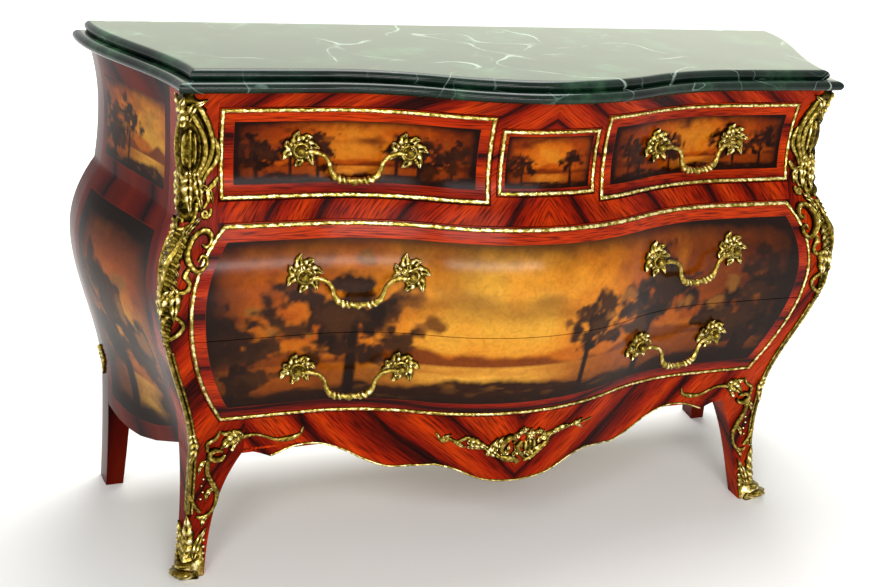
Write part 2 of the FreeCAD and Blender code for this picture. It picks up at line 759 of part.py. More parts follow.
strips = [strip("upper_guide", "belly", "long_box_half", "runner_top"),
          strip("lower_guide", "belly", "long_box_half", "panel_floor"),
          strip("row_guide", "neck", "row_box_end", "row_floor")]
keep(group("guides", *strips, *[mirror(item.Name + "_left", item) for item in strips]), "drawer_guides")


# Drawers: a veneered front, two sides, a back and a bottom
def drawer_box(stem, level, x, z):
    """Sides, back and bottom between outer x and z bounds, behind the front."""
    (left, right), (low, high) = x, z
    reach = (f"-{FAR}", "box_back")
    sides = [common(f"{stem}_side_{name}", behind_fronts[level], box(f"{stem}_{name}_zone", span, reach, z))
             for name, span in (("a", (left, f"{left} + drawer_side")),
                                ("b", (f"{right} - drawer_side", right)))]
    keep(group(stem + "_pair", *sides), stem + "_sides")
    inside = (f"{left} + drawer_side", f"{right} - drawer_side")
    keep(box(stem + "_rear", inside, ("box_back - drawer_side", "box_back"), z), stem + "_back")
    floor = (f"{low} + bottom_rebate", f"{low} + bottom_rebate + drawer_bottom")
    keep(common(stem + "_floor", behind_fronts[level], box(
        stem + "_floor_zone", inside, (f"-{FAR}", "box_back - drawer_side"), floor)), stem + "_bottom")


def row_drawer(stem, x, z, box_x, box_z):
    """Drawer of the top row with its rectangular brass frame."""
    zone = box(stem + "_zone", x, WHOLE_Y, z)
    keep(common(stem + "_veneered", front_layers["neck"], zone), stem + "_front")
    inner_x = (f"{x[0]} + frame_width", f"{x[1]} - frame_width")
    inner_z = (f"{z[0]} + frame_width", f"{z[1]} - frame_width")
    ring = cut(stem + "_ring", box(stem + "_frame_out", x, WHOLE_Y, z),
               box(stem + "_frame_in", inner_x, WHOLE_Y, inner_z))
    keep(common(stem + "_edging", brass_layer["neck"], ring), stem + "_brass_frame")
    drawer_box(stem, "neck", box_x, box_z)


row_z = ("row_bottom", "row_top")
row_box_z = ("row_floor + running_gap", "row_top - box_headroom")
row_drawer("right_drawer", ("row_inner", "row_outer"), row_z, ("row_inner", "row_box_end"), row_box_z)
row_drawer("left_drawer", ("-row_outer", "-row_inner"), row_z, ("-row_box_end", "-row_inner"), row_box_z)
small_x = ("-centre_half_width", "centre_half_width")
row_drawer("small_drawer", small_x, ("centre_bottom", "centre_top"), small_x,
           ("centre_floor + running_gap", "centre_top - box_headroom"))


def belly_drawer(stem, z, box_z):
    """Full-width drawer with its half of the bowed brass frame."""
    zone = box(stem + "_zone", WHOLE_X, WHOLE_Y, z)
    keep(common(stem + "_veneered", front_layers["belly"], panel, zone), stem + "_front")
    keep(common(stem + "_edging", brass_layer["belly"], frame_ring, zone), stem + "_brass_frame")
    drawer_box(stem, "belly", ("-long_box_half", "long_box_half"), box_z)


belly_drawer("upper_drawer", ("seam_height + drawer_gap / 2", "panel_top"),
             ("runner_top + running_gap", "panel_top - box_headroom"))
belly_drawer("lower_drawer", ("panel_bottom", "seam_height - drawer_gap / 2"),
             ("panel_floor + running_gap", "runner_bottom - bottom_rebate"))


# Handles: two leafy rosettes, each with a cross-bored boss, and a swag bail between them
PETALS = 8
PETAL_ROOT = 0.72
BAIL_HALF = [(0.13, 0, 0), (0.26, 0.02, 0), (0.41, 0.11, 0), (0.5, 0.33, 0), (0.54, 0.6, 0.2),
             (0.62, 0.83, 1),
             (0.76, 0.96, 1), (0.9, 0.97, 0.4), (1, 1, 0)]
SIDES = 6
HEXAGON = [2 * math.pi * step / SIDES for step in range(SIDES)]


def bail_shape():
    """Bail hung from the x axis, its first pivot at the origin: hexagons along its pins and its swag."""
    span, arm, pin = size("handle_span"), size("bail_radius"), size("pin_radius")
    start = size("boss_radius") + size("arm_gap")
    half = [(-size("pin_reach"), 0, pin), (start, 0, pin), (start, 0, arm)]
    half += [(run * span / 2, fall * size("bail_drop"), arm + swelling * size("bail_swell"))
             for run, fall, swelling in BAIL_HALF]
    stations = half + [(span - run, fall, radius) for run, fall, radius in reversed(half[:-1])]
    across = Vector(0, 1, 0)
    rings = []
    for index, (run, fall, radius) in enumerate(stations):
        back, ahead = stations[max(index - 1, 0)], stations[min(index + 1, len(stations) - 1)]
        course = Vector(ahead[0] - back[0], 0, back[1] - ahead[1]).normalize()
        upward = across.cross(course)
        centre = Vector(run, 0, -fall)
        rings.append([centre + across * radius * math.cos(turn) + upward * radius * math.sin(turn)
                      for turn in HEXAGON])
    return facets(rings)


def rosette_shape():
    """Rosette at the origin facing -Y: pointed petals round a cross-bored boss."""
    deep = size("front_thickness") / 2
    points = []
    for step in range(2 * PETALS):
        turn = math.pi * (step + 0.5) / PETALS
        radius = size("rosette_radius") * (1 if step % 2 else PETAL_ROOT)
        points.append((radius * math.cos(turn), -size("rosette_thickness"), radius * math.sin(turn)))
    petals = Part.Face(polygon(points)).extrude(Vector(0, size("rosette_thickness") + deep, 0))
    reach = size("pivot_stand") + size("boss_cap")
    boss_points = [(size("boss_radius") * math.cos(turn), -reach, size("boss_radius") * math.sin(turn))
                   for turn in HEXAGON]
    boss = Part.Face(polygon(boss_points)).extrude(Vector(0, reach + deep, 0))
    bore = Part.makeCylinder(size("pin_radius") + size("pin_gap"), 4 * size("boss_radius"),
                             Vector(-2 * size("boss_radius"), -size("pivot_stand"), 0), Vector(1, 0, 0))
    return petals.fuse(boss).cut(bore)


def handle(name, way, z, wood):
    """Rosettes seated on the front, and the bail, on the side of the chest that way gives."""
    near = size("handle_inner")
    far = near + size("handle_span")
    feet = [Vector(x, front_y(x, z), z) for x in sorted((way * near, way * far))]
    run = feet[1] - feet[0]
    turn = math.degrees(math.atan2(run.y, run.x))
    seats = []
    for index, foot in enumerate(feet):
        rosette = feature(f"{name}_rosette_{index}", rosette_shape())
        rosette.Placement = FreeCAD.Placement(foot, FreeCAD.Rotation(Vector(0, 0, 1), turn))
        seats.append(cut(f"{name}_seat_{index}", rosette, wood))
    bail = feature(name + "_bail_piece", bail_shape())
    pivot = FreeCAD.Rotation(Vector(0, 0, 1), turn).multVec(Vector(0, -size("pivot_stand"), 0))
    bail.Placement = FreeCAD.Placement(feet[0] + pivot, FreeCAD.Rotation(Vector(0, 0, 1), turn))
    keep(bail, name + "_bail")
    return seats


ROW_MIDDLE = (place("row_bottom") + place("row_top")) / 2
UPPER_MIDDLE = (size("seam_height") + place("panel_top")) / 2
LOWER_MIDDLE = (size("panel_bottom") + size("seam_height")) / 2
HANDLES = [
    ("right_drawer", "neck", (1,), ROW_MIDDLE + size("row_handle_lift")),
    ("left_drawer", "neck", (-1,), ROW_MIDDLE + size("row_handle_lift")),
    ("upper_drawer", "belly", (1, -1), UPPER_MIDDLE + size("upper_handle_lift")),
    ("lower_drawer", "belly", (1, -1), LOWER_MIDDLE + size("lower_handle_lift")),
]
SIDE_WORDS = {1: "right", -1: "left"}
for stem, level, ways, height in HANDLES:
    seats = []
    for way in ways:
        handle_name = stem if len(ways) == 1 else f"{stem}_{SIDE_WORDS[way]}"
        seats += handle(handle_name, way, height, front_layers[level])
    keep(group(stem + "_rosette_group", *seats), stem + "_rosettes")


# Corner mounts: angle-shaped shells that follow the arris of post and leg
SEAT_GAP = size("running_gap")


def angle_section(z, front, side, thick):
    """Angle round the arris at height z: its reach over the front and over the side."""
    x, y = arris(z)
    if z >= LEVELS["base"]:
        side_point = (side_x(y + side, z), y + side)
    else:
        side_point = (x + SIDE_SLOPE * side, y + side)
    lean = math.atan2(side_point[0] - x, side)
    normal = (math.cos(lean), -math.sin(lean))
    inner = [(x - front, y - SEAT_GAP), (x + SEAT_GAP, y - SEAT_GAP),
             (side_point[0] + SEAT_GAP * normal[0], side_point[1] + SEAT_GAP * normal[1])]
    outer = [(side_point[0] + (SEAT_GAP + thick) * normal[0], side_point[1] + (SEAT_GAP + thick) * normal[1]),
             (x + SEAT_GAP + thick, y - SEAT_GAP - thick), (x - front, y - SEAT_GAP - thick)]
    return [Vector(px, py, z) for px, py in inner + outer]


def angle_mount(name, stations):
    return feature(name, facets([angle_section(*station) for station in stations]))


def follow(table, share):
    """Values of an outline table at a share of its length, straight between its rows."""
    rows = zip(table, table[1:])
    low, high = next((a, b) for a, b in rows if share <= b[0])
    part = (share - low[0]) / (high[0] - low[0])
    return [first + (last - first) * part for first, last in zip(low[1:], high[1:])]


def heights(low, high, table):
    """Heights where a mount from low to high needs a section: its own and the case's."""
    own = [low + row[0] * (high - low) for row in table]
    case_own = [z for z in ALL_STATIONS if low < z < high]
    spread = sorted(own + case_own)
    return [z for z, after in zip(spread, spread[1:]) if after - z > SEAT_GAP] + spread[-1:]


SIDE_SHARE = 0.6
CHUTE_NECK = [(0, 0.5, 0.8), (0.2, 0.62, 1), (0.38, 0.72, 1), (0.62, 1, 1.1), (0.85, 0.95, 1), (1, 0.5, 0.7)]
CHUTE_BELLY = [(0, 0.22, 0.4), (0.25, 0.4, 0.7), (0.5, 0.55, 1), (0.75, 0.85, 1.9), (1, 0.5, 1.2)]


def chute_part(name, low, high, outline):
    stations = []
    for z in heights(low, high, outline):
        reach, thick = follow(outline, (z - low) / (high - low))
        front = reach * size("chute_width")
        stations.append((z, front, front * SIDE_SHARE, thick * size("chute_thickness")))
    return angle_mount(name, stations)


chute_neck = chute_part("chute_neck", LEVELS["crease"], LEVELS["top"] - SEAT_GAP, CHUTE_NECK)
chute_belly = chute_part("chute_belly", size("chute_foot"), LEVELS["crease"], CHUTE_BELLY)
pair("chutes", fuse("chute", chute_neck, chute_belly))

strip_foot = size("sabot_height") + SEAT_GAP
strip_head = size("chute_foot") - SEAT_GAP
leg_stations = [z for z in between(0, LEVELS["base"], LEG_STEPS) if strip_foot < z < LEVELS["base"]]
strip_stations = [strip_foot] + leg_stations + heights(LEVELS["base"], strip_head, [(0,), (1,)])
pair("corner_strips", angle_mount("corner_strip", [
    (z, size("strip_width"), size("strip_width"), size("strip_thickness")) for z in strip_stations]))

SABOT = [(0, 0.95, 0.9), (0.12, 0.95, 1), (0.28, 0.85, 0.35), (0.5, 0.7, 0.1), (0.75, 0.55, 0), (1, 0.2, 0)]
sabot_stations = []
for rise, reach, toe in SABOT:
    thick = size("sabot_thickness") + toe * size("sabot_toe")
    sabot_stations.append((rise * size("sabot_height"), reach * size("foot_width"),
                           reach * size("foot_depth"), thick))
pair("sabots", angle_mount("sabot", sabot_stations))


# Applied scrolls: flat ribbons laid on the veneer along a path
PATH_STEPS = 2


def on_front(x, z, lift):
    """Point on the front, or on the front leg where x lies beyond the apron, lifted forward."""
    on_leg = z < LEVELS["base"] and x > place("apron_end")
    y = arris(z)[1] if on_leg else front_y(x, z)
    return Vector(x, y - lift, z)


def on_side(y, z, lift):
    """Point on the right side, lifted outwards."""
    return Vector(side_x(y, z) + lift, y, z)


def smooth(path):
    """The same path, smoothed and in smaller steps."""
    curve = Part.BSplineCurve()
    curve.interpolate([Vector(*point) for point in path])
    return curve.discretize(PATH_STEPS * (len(path) - 1) + 1)


def ribbon(name, path, thick, lay):
    """Ribbon along (run, height, width) points, laid on a surface by lay."""
    rings = []
    for index, (run, height, width) in enumerate(path):
        back = path[max(index - 1, 0)]
        ahead = path[min(index + 1, len(path) - 1)]
        along = math.hypot(ahead[0] - back[0], ahead[1] - back[1])
        step = ((back[1] - ahead[1]) / along * width / 2, (ahead[0] - back[0]) / along * width / 2)
        edges = [(run + step[0], height + step[1]), (run - step[0], height - step[1])]
        low = [lay(u, v, size("mount_gap")) for u, v in edges]
        high = [lay(u, v, size("mount_gap") + thick) for u, v in reversed(edges)]
        rings.append(low + high)
    return feature(name, facets(rings))


# Middle of the apron: a leafy scroll that runs out in a tendril on each side
MOUNT_PATH = [(-0.32, 0.5, 2), (-0.26, 0.36, 8), (-0.19, 0.4, 7), (-0.13, 0.24, 15), (-0.06, 0.2, 12),
              (0, 0.05, 20),
              (0.06, 0.28, 26), (0.12, 0.4, 24), (0.17, 0.3, 12), (0.22, 0.52, 7), (0.3, 0.7, 2)]
apron_rise = place("panel_floor") - size("apron_arch")
MOUNT_FALL = 0.45
mount_foot = size("apron_arch") - MOUNT_FALL * size("apron_drop")
keep(ribbon("apron_scroll", smooth([
    (share * place("apron_end"), mount_foot + rise * apron_rise, width)
    for share, rise, width in MOUNT_PATH]), size("mount_thickness"), on_front), "apron_mount")

# Knees: a tendril along the apron from a leaf on the knee, and a scroll down the leg
TENDRIL = [(-2.05, 0.8, 3), (-1.7, 0.64, 6), (-1.3, 0.62, 8), (-0.95, 0.58, 12), (-0.62, 0.64, 20),
           (-0.36, 0.72, 18)]
SCROLL = [(-0.5, 0.72, 16), (-0.46, 0.42, 12), (-0.36, 0.16, 8), (-0.26, -0.02, 7)]


def knee_path(points):
    """Path in shares of the knee's width inwards and of the rise over the apron's arch."""
    return smooth([(CORNERS["base"] + run * size("knee_width"), LEVELS["base"] + rise * apron_rise, width)
                   for run, rise, width in points])


tendril = ribbon("knee_tendril", knee_path(TENDRIL), size("mount_thickness"), on_front)
scroll = ribbon("knee_scroll", knee_path(SCROLL), size("mount_thickness"), on_front)
pair("knee_mounts", fuse("knee_mount", tendril, scroll))

# Bead along the apron's lower edge
bead_right = apron_half((APRON_DROP, APRON_LOBE), 1)
bead_left = apron_half((APRON_DROP, APRON_LOBE), -1)
bead_path = [(point.x, point.z + size("bead_width") / 2, size("bead_width"))
             for point in bead_left[:0:-1] + bead_right]
keep(ribbon("bead", bead_path, size("bead_thickness"), on_front), "apron_bead")

# Small leaves on the knees of the back legs
LEAF = [(0.1, 0.08, 4), (0.3, 0.35, 16), (0.45, 0.7, 20), (0.5, 1, 3)]
leaf_foot = LEVELS["base"]
leaf_head = size("panel_bottom")
pair("rear_knee_mounts", ribbon("rear_leaf", smooth([
    (place("stile_front") + run * size("stile_depth"), leaf_foot + rise * (leaf_head - leaf_foot), width)
    for run, rise, width in LEAF]), size("mount_thickness"), on_side))

doc.recompute()

for obj in doc.Objects:
    assert "Invalid" not in obj.State and "Error" not in obj.State, f"{obj.Name} failed: {obj.State}"
for node in nodes:
    assert not node.Shape.isNull(), f"{node.Label} is empty"
    assert node.Shape.isValid(), f"{node.Label} is not valid"
    assert node.Shape.Solids, f"{node.Label} has no solid"

os.makedirs("parts", exist_ok=True)
for node in nodes:
    node.Shape.exportStep(f"parts/{node.Label}.step")
    print(node.Label, len(node.Shape.Solids), round(node.Shape.Volume / 1000, 1))
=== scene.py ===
import bmesh
import bpy
import numpy as np
from mathutils import Matrix


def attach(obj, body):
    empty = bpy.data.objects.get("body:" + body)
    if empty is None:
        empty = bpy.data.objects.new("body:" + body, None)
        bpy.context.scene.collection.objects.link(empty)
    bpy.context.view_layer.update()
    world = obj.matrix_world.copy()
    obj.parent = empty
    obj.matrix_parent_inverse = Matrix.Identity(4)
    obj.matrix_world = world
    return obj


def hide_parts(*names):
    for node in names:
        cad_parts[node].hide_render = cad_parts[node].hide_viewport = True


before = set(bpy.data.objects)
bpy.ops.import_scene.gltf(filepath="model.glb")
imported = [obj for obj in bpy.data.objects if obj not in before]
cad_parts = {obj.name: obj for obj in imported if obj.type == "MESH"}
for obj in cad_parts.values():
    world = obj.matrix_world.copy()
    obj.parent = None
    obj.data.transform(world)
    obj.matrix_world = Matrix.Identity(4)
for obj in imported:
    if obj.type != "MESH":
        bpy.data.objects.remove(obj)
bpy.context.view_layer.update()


# Carcase and drawer boxes: planed softwood boards, glued and nailed behind the veneer. They keep
# their CAD shape, and show only at the back and in open drawers.
def linear(code):
    """An sRGB hex colour as linear red, green, blue and alpha."""
    share = np.array([int(code[i:i + 2], 16) for i in (1, 3, 5)]) / 255
    return (*np.where(share <= 0.04045, share / 12.92, ((share + 0.055) / 1.055) ** 2.4), 1.0)


def add(material, kind, inputs=(), stops=(), output=None, **settings):
    """One shader node with its settings. An input is a value or another node's output, stops fill a ramp. Gives back
    the output that is named, or else the first one that the settings leave in use."""
    made = material.node_tree.nodes.new("ShaderNode" + kind)
    for name, value in settings.items():
        setattr(made, name, value)
    for name, value in dict(inputs).items():
        if isinstance(value, bpy.types.NodeSocket):
            material.node_tree.links.new(value, made.inputs[name])
        else:
            made.inputs[name].default_value = value
    for i, (position, code) in enumerate(stops):
        stop = made.color_ramp.elements[i] if i < 2 else made.color_ramp.elements.new(position)
        stop.position, stop.color = position, linear(code)
    return made.outputs[output] if output else next(socket for socket in made.outputs if socket.enabled)


def link(material, output, shader_input):
    """Joins an output to a socket of the material's shader."""
    shader = material.node_tree.nodes["Principled BSDF"]
    material.node_tree.links.new(output, shader.inputs[shader_input])


def finish(name, **sockets):
    """A new material with constant values on the shader's own sockets."""
    material = bpy.data.materials.new(name)
    material.use_nodes = True
    for socket, value in sockets.items():
        material.node_tree.nodes["Principled BSDF"].inputs[socket.replace("_", " ")].default_value = value
    return material


def softwood(name, stretch):
    """Old planed pine: honey brown with darker summer wood, dry and matt. Rings are 7 mm apart, drawn out
    twelve times along the board."""
    wood = finish(name, Roughness=0.7)
    place = add(wood, "TexCoord", output="Object")
    board = add(wood, "Mapping", {"Vector": place, "Scale": stretch})
    rings = add(wood, "TexNoise", {"Vector": board, "Scale": 1 / 0.007, "Detail": 3.0, "Distortion": 0.6})
    grime = add(wood, "TexNoise", {"Vector": place, "Scale": 1 / 0.09, "Detail": 4.0})
    grain = add(wood, "ValToRGB", {"Fac": rings}, [(0.32, "#6B4A2A"), (0.68, "#A47A4A"), (0.5, "#8C6238")])
    dust = add(wood, "ValToRGB", {"Fac": grime}, [(0.3, "#BDB0A2"), (0.65, "#FFFFFF")])
    both = add(wood, "Mix", {6: grain, 7: dust, "Factor": 1.0}, data_type="RGBA", blend_type="MULTIPLY")
    link(wood, both, "Base Color")
    link(wood, add(wood, "Bump", {"Height": rings, "Strength": 0.25, "Distance": 0.0006}), "Normal")
    return wood


DRAWERS = ["right_drawer", "left_drawer", "small_drawer", "upper_drawer", "lower_drawer"]
crosswise = softwood("planed_pine_crosswise", (1 / 12, 1, 1))
lengthwise = softwood("planed_pine_lengthwise", (1, 1 / 12, 1))
for board in ["top_board", "back_panel", "dust_board", "bottom_board",
              *(drawer + part for drawer in DRAWERS for part in ("_back", "_bottom"))]:
    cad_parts[board].material_slots[0].material = crosswise
for board in ["partitions", "drawer_runners", "drawer_guides", *(drawer + "_sides" for drawer in DRAWERS)]:
    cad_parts[board].material_slots[0].material = lengthwise


# Front posts: one piece from the foot to under the marble, a cabriole leg below and a post above that
# follows the swelling corner. Softwood, veneered with kingwood and polished. Sizes are in millimetres.
PER_METRE = 1000
BASE, BELLY, CREASE, NECK, TOP = 225, 515, 643, 745, 847.5
BACK = 242.5
# Depth of the flat ends, half width at the front corners and half width at the back, at those five heights.
DEPTHS = 355, 405, 371, 345, 362
CORNERS = 566, 622, 592, 582, 586
WIDTHS = 668, 720, 675, 667, 682
PANEL_LOW, PANEL_HIGH, PANEL_HALF, PANEL_BOW, BOW_HEIGHT = 289, 641.5, 522, 61, 506
GAP = 1.5
POST_DEPTH = 60
ROW_END = 529
APRON_END, APRON_TOP = 478, 287.5
ANKLE, KNEE_BEND = 36, 36
FOOT_OUT, FOOT_AHEAD = 17, 22


def swell(values, z):
    """A size up the case, given at base, belly, crease, neck and top: an S from base to belly, a parabola
    from belly to crease, and one each side of the neck."""
    base, belly, crease, neck, top = values
    foot = np.clip((BELLY - z) / (BELLY - BASE), 0, 1)
    under = belly + (base - belly) * foot ** 2 * (3 - 2 * foot)
    over = belly + (crease - belly) * ((z - BELLY) / (CREASE - BELLY)) ** 2
    hollow = neck + (crease - neck) * ((z - NECK) / (CREASE - NECK)) ** 2
    flare = neck + (top - neck) * ((z - NECK) / (TOP - NECK)) ** 2
    return np.select([z < BELLY, z < CREASE, z < NECK], [under, over, hollow], flare)


def flank(z):
    """Y of the flat ends of the front at height z."""
    return BACK - swell(DEPTHS, z)


def side_plan(share, corner, width):
    """X of a side at a share of its depth: a cubic curve to the back from the corner, where it leans out by a tenth."""
    lean = corner + 0.1 * (width - corner)
    rest = 1 - share
    return rest ** 3 * corner + 3 * rest ** 2 * share * lean + (3 * rest + share) * share ** 2 * width


def side_x(y, z):
    """X of the right side's veneer."""
    near = flank(z)
    return side_plan((y - near) / (BACK - near), swell(CORNERS, z), swell(WIDTHS, z))


def panel_half(z):
    """Half width of the bowed panel of the long drawers: a circle's arc, upright at the bow, each way from it."""
    rise = np.where(z < BOW_HEIGHT, BOW_HEIGHT - PANEL_LOW, PANEL_HIGH - BOW_HEIGHT)
    radius = (rise ** 2 + PANEL_BOW ** 2) / (2 * PANEL_BOW)
    away = np.clip(np.abs(z - BOW_HEIGHT), 0, rise)
    return PANEL_HALF + PANEL_BOW - radius + np.sqrt(radius ** 2 - away ** 2)


def arris(z):
    """X and Y of the right front edge: the corner above the base, below it the knee and the turned-out foot."""
    down = np.clip(1 - z / BASE, 0, 1)
    x = np.where(z < BASE, CORNERS[0] + FOOT_OUT * down ** 2, swell(CORNERS, z))
    bend = KNEE_BEND * down * (1 - down) - FOOT_AHEAD * down ** 2
    return x, np.where(z < BASE, BACK - DEPTHS[0] + bend, flank(z))


def grid_faces(index):
    """Four-sided faces between the neighbours of an array of point numbers."""
    return np.stack([index[:-1, :-1], index[:-1, 1:], index[1:, 1:], index[1:, :-1]], -1).reshape(-1, 4)


def loft(rings):
    """Closed skin over an array of rings of points, each end closed by a fan to its middle."""
    count, size = rings.shape[:2]
    index = np.arange(count * size).reshape(count, size)
    ends = np.stack([rings[0].mean(0), rings[-1].mean(0)])
    points = np.concatenate([rings.reshape(-1, 3), ends])
    round_about = np.concatenate([index, index[:, :1]], 1)
    first = np.stack([index[0], np.roll(index[0], -1), np.full(size, count * size)], -1)
    last = np.stack([index[-1], np.roll(index[-1], -1), np.full(size, count * size + 1)], -1)
    return points, [grid_faces(round_about), first, last], np.ones(len(points))


def mirrored(shape):
    """The same shape on the other side of the chest."""
    points, faces, relief = shape
    return points * (-1, 1, 1), faces, relief


def stand(name, data):
    """A new object in the scene."""
    made = bpy.data.objects.new(name, data)
    bpy.context.scene.collection.objects.link(made)
    return made


def piece(name, body, material, shapes, nodes, sharp=40):
    """One object from closed shapes in millimetres: points, faces, and a relief from 0 in hollows to 1 on crests.
    Points that meet are merged, faces turn outwards, and edges under the sharp angle are smooth."""
    starts = np.cumsum([0] + [len(shape[0]) for shape in shapes])
    mesh = bpy.data.meshes.new(name)
    points = np.concatenate([shape[0] for shape in shapes]) / PER_METRE
    faces = [face for start, shape in zip(starts, shapes)
             for block in shape[1] for face in (block + start).tolist()]
    mesh.from_pydata(points.tolist(), [], faces)
    relief = np.concatenate([shape[2] for shape in shapes]).astype(np.float32)
    mesh.attributes.new("relief", "FLOAT", "POINT").data.foreach_set("value", relief)
    work = bmesh.new()
    work.from_mesh(mesh)
    bmesh.ops.remove_doubles(work, verts=work.verts, dist=2e-6)
    bmesh.ops.recalc_face_normals(work, faces=work.faces)
    work.to_mesh(mesh)
    work.free()
    mesh.polygons.foreach_set("use_smooth", np.ones(len(mesh.polygons), bool))
    mesh.set_sharp_from_angle(angle=np.radians(sharp))
    mesh.materials.append(material)
    made = stand(name, mesh)
    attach(made, body)
    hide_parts(*nodes)
    return made


def kingwood_colour(material, lean, width, matched=False, darkening="#FFFFFF"):
    """Colour of kingwood laid aslant in strips of that width in metres: each shades from red to orange and back
    and ends at a near-black streak, with pores 2 mm apart. lean is the slope of the grain in degrees; matched
    leaves turn it over at the chest's middle. A darkening tint multiplies the whole."""
    place = add(material, "TexCoord", output="Object")
    if matched:
        place = add(material, "VectorMath", {0: place}, operation="ABSOLUTE")
    cos, sin = np.cos(np.radians(lean)), np.sin(np.radians(lean))
    along = add(material, "VectorMath", {0: place, 1: (cos, cos, sin)}, operation="DOT_PRODUCT")
    across = add(material, "VectorMath", {0: place, 1: (-sin, -sin, cos)}, operation="DOT_PRODUCT")
    grain = add(material, "CombineXYZ", {"X": along, "Y": across})
    wide = add(material, "Mapping", {"Vector": grain, "Scale": (2, 1 / 0.06, 1)})
    fine = add(material, "Mapping", {"Vector": grain, "Scale": (1 / 0.04, 1 / 0.002, 1)})
    drift = add(material, "TexNoise", {"Vector": wide, "Scale": 1.0, "Detail": 3.0}, noise_dimensions="2D")
    pore = add(material, "TexNoise", {"Vector": fine, "Scale": 1.0, "Detail": 2.0}, noise_dimensions="2D")
    strips = add(material, "Math", {0: across, 1: 1 / width, 2: drift}, operation="MULTIPLY_ADD")
    share = add(material, "Math", {0: strips}, operation="FRACT")
    tone = add(material, "ValToRGB", {"Fac": share},
               [(0.0, "#1E0402"), (1.0, "#2E0603"), (0.05, "#320703"), (0.13, "#7A1203"), (0.45, "#BC3605"),
                (0.72, "#9A1E03"), (0.92, "#620D02")])
    line = add(material, "ValToRGB", {"Fac": pore}, [(0.3, "#8A7A70"), (0.6, darkening)])
    both = add(material, "Mix", {6: tone, 7: line, "Factor": 1.0}, data_type="RGBA", blend_type="MULTIPLY")
    return both


def kingwood(name, lean, width, matched=False, darkening="#FFFFFF"):
    """French-polished veneer: deep red with a smooth soft gloss and a faint ripple."""
    wood = finish(name, Roughness=0.2, Specular_IOR_Level=0.04)
    link(wood, kingwood_colour(wood, lean, width, matched, darkening), "Base Color")
    place = add(wood, "TexCoord", output="Object")
    ripple = add(wood, "TexNoise", {"Vector": place, "Scale": 1 / 0.03, "Detail": 2.0})
    link(wood, add(wood, "Bump", {"Height": ripple, "Strength": 0.12, "Distance": 0.002}), "Normal")
    return wood


upright_kingwood = kingwood("kingwood_veneer_upright", lean=62, width=0.12)
SIDE_SLOPE = (side_x(BACK - DEPTHS[0] + POST_DEPTH, BASE) - CORNERS[0]) / POST_DEPTH
panel_z = np.linspace(APRON_TOP, CREASE, 90)
post_z = np.concatenate([np.linspace(0, BASE, 46), np.linspace(BASE, APRON_TOP, 14)[1:], panel_z,
                         np.linspace(CREASE, TOP, 44)])
post_inner = np.concatenate([np.zeros(46), np.full(13, APRON_END), panel_half(panel_z) + GAP,
                             np.full(44, ROW_END + GAP)])
edge_x, edge_y = arris(post_z)
growth = np.clip(post_z / BASE, 0, 1) ** 2.6
depth = np.where(post_z < BASE, ANKLE + (POST_DEPTH - ANKLE) * growth, POST_DEPTH)
inner_x = np.where(post_z < BASE, edge_x - ANKLE - (CORNERS[0] - APRON_END - ANKLE) * growth, post_inner)


def side_line(run):
    """X of the post's side face at a share of its depth."""
    return np.where(post_z < BASE, edge_x + SIDE_SLOPE * run * depth, side_x(edge_y + run * depth, post_z))


EASE = 2.2
corners = [(inner_x, edge_y), (edge_x - EASE, edge_y), (edge_x - 0.3 * EASE, edge_y + 0.3 * EASE),
           (side_line(EASE / depth), edge_y + EASE), (side_line(0.33), edge_y + 0.33 * depth),
           (side_line(0.67), edge_y + 0.67 * depth), (side_line(1.0), edge_y + depth), (inner_x, edge_y + depth)]
post = loft(np.stack([np.stack([x, y, post_z], -1) for x, y in corners], 1))
piece("right_post", "case", upright_kingwood, [post], ["front_post_right"])
piece("left_post", "case", upright_kingwood, [mirrored(post)], ["front_post_left"])


# Case sides: bent softwood panels between post and back stile, arched below, veneered and painted.
# Each has a small picture above the crease and a tall one below it, in a kingwood surround.
def shell(outer, inner):
    """Closed skin from two grids of points of one shape, joined by a strip round their rims."""
    rows, columns = outer.shape[:2]
    index = np.arange(rows * columns).reshape(rows, columns)
    rim = np.concatenate([index[0, :-1], index[:-1, -1], index[-1, :0:-1], index[:0:-1, 0]])
    far = rim + rows * columns
    wall = np.stack([rim, np.roll(rim, -1), np.roll(far, -1), far], -1)
    points = np.concatenate([outer.reshape(-1, 3), inner.reshape(-1, 3)])
    return points, [grid_faces(index), grid_faces(index + rows * columns), wall], np.ones(len(points))


def spread(knots, counts):
    """Lines between knots, so many to each interval, with the knots themselves among them."""
    runs = [np.linspace(a, b, n, endpoint=False) for a, b, n in zip(knots, knots[1:], counts)]
    return np.concatenate([*runs, knots[-1:]])


def noise(x, z, cell, seed):
    """Random heights on a square lattice of that cell, eased from corner to corner, in three octaves."""
    size, offset = 64, 97
    table = np.random.default_rng(seed).random((size, size))
    total = np.zeros_like(x)
    for octave in range(3):
        u, v = x * 2 ** octave / cell + offset, z * 2 ** octave / cell + offset
        i, j = np.floor(u).astype(int), np.floor(v).astype(int)
        a, b = (u - i) ** 2 * (3 - 2 * (u - i)), (v - j) ** 2 * (3 - 2 * (v - j))
        here, next_i, above = (i % size, j % size), (i + 1) % size, (j + 1) % size
        low = table[here] * (1 - a) + table[next_i, here[1]] * a
        high = table[here[0], above] * (1 - a) + table[next_i, above] * a
        total += (low * (1 - b) + high * b) / 2 ** (octave + 1)
    return total / 0.875


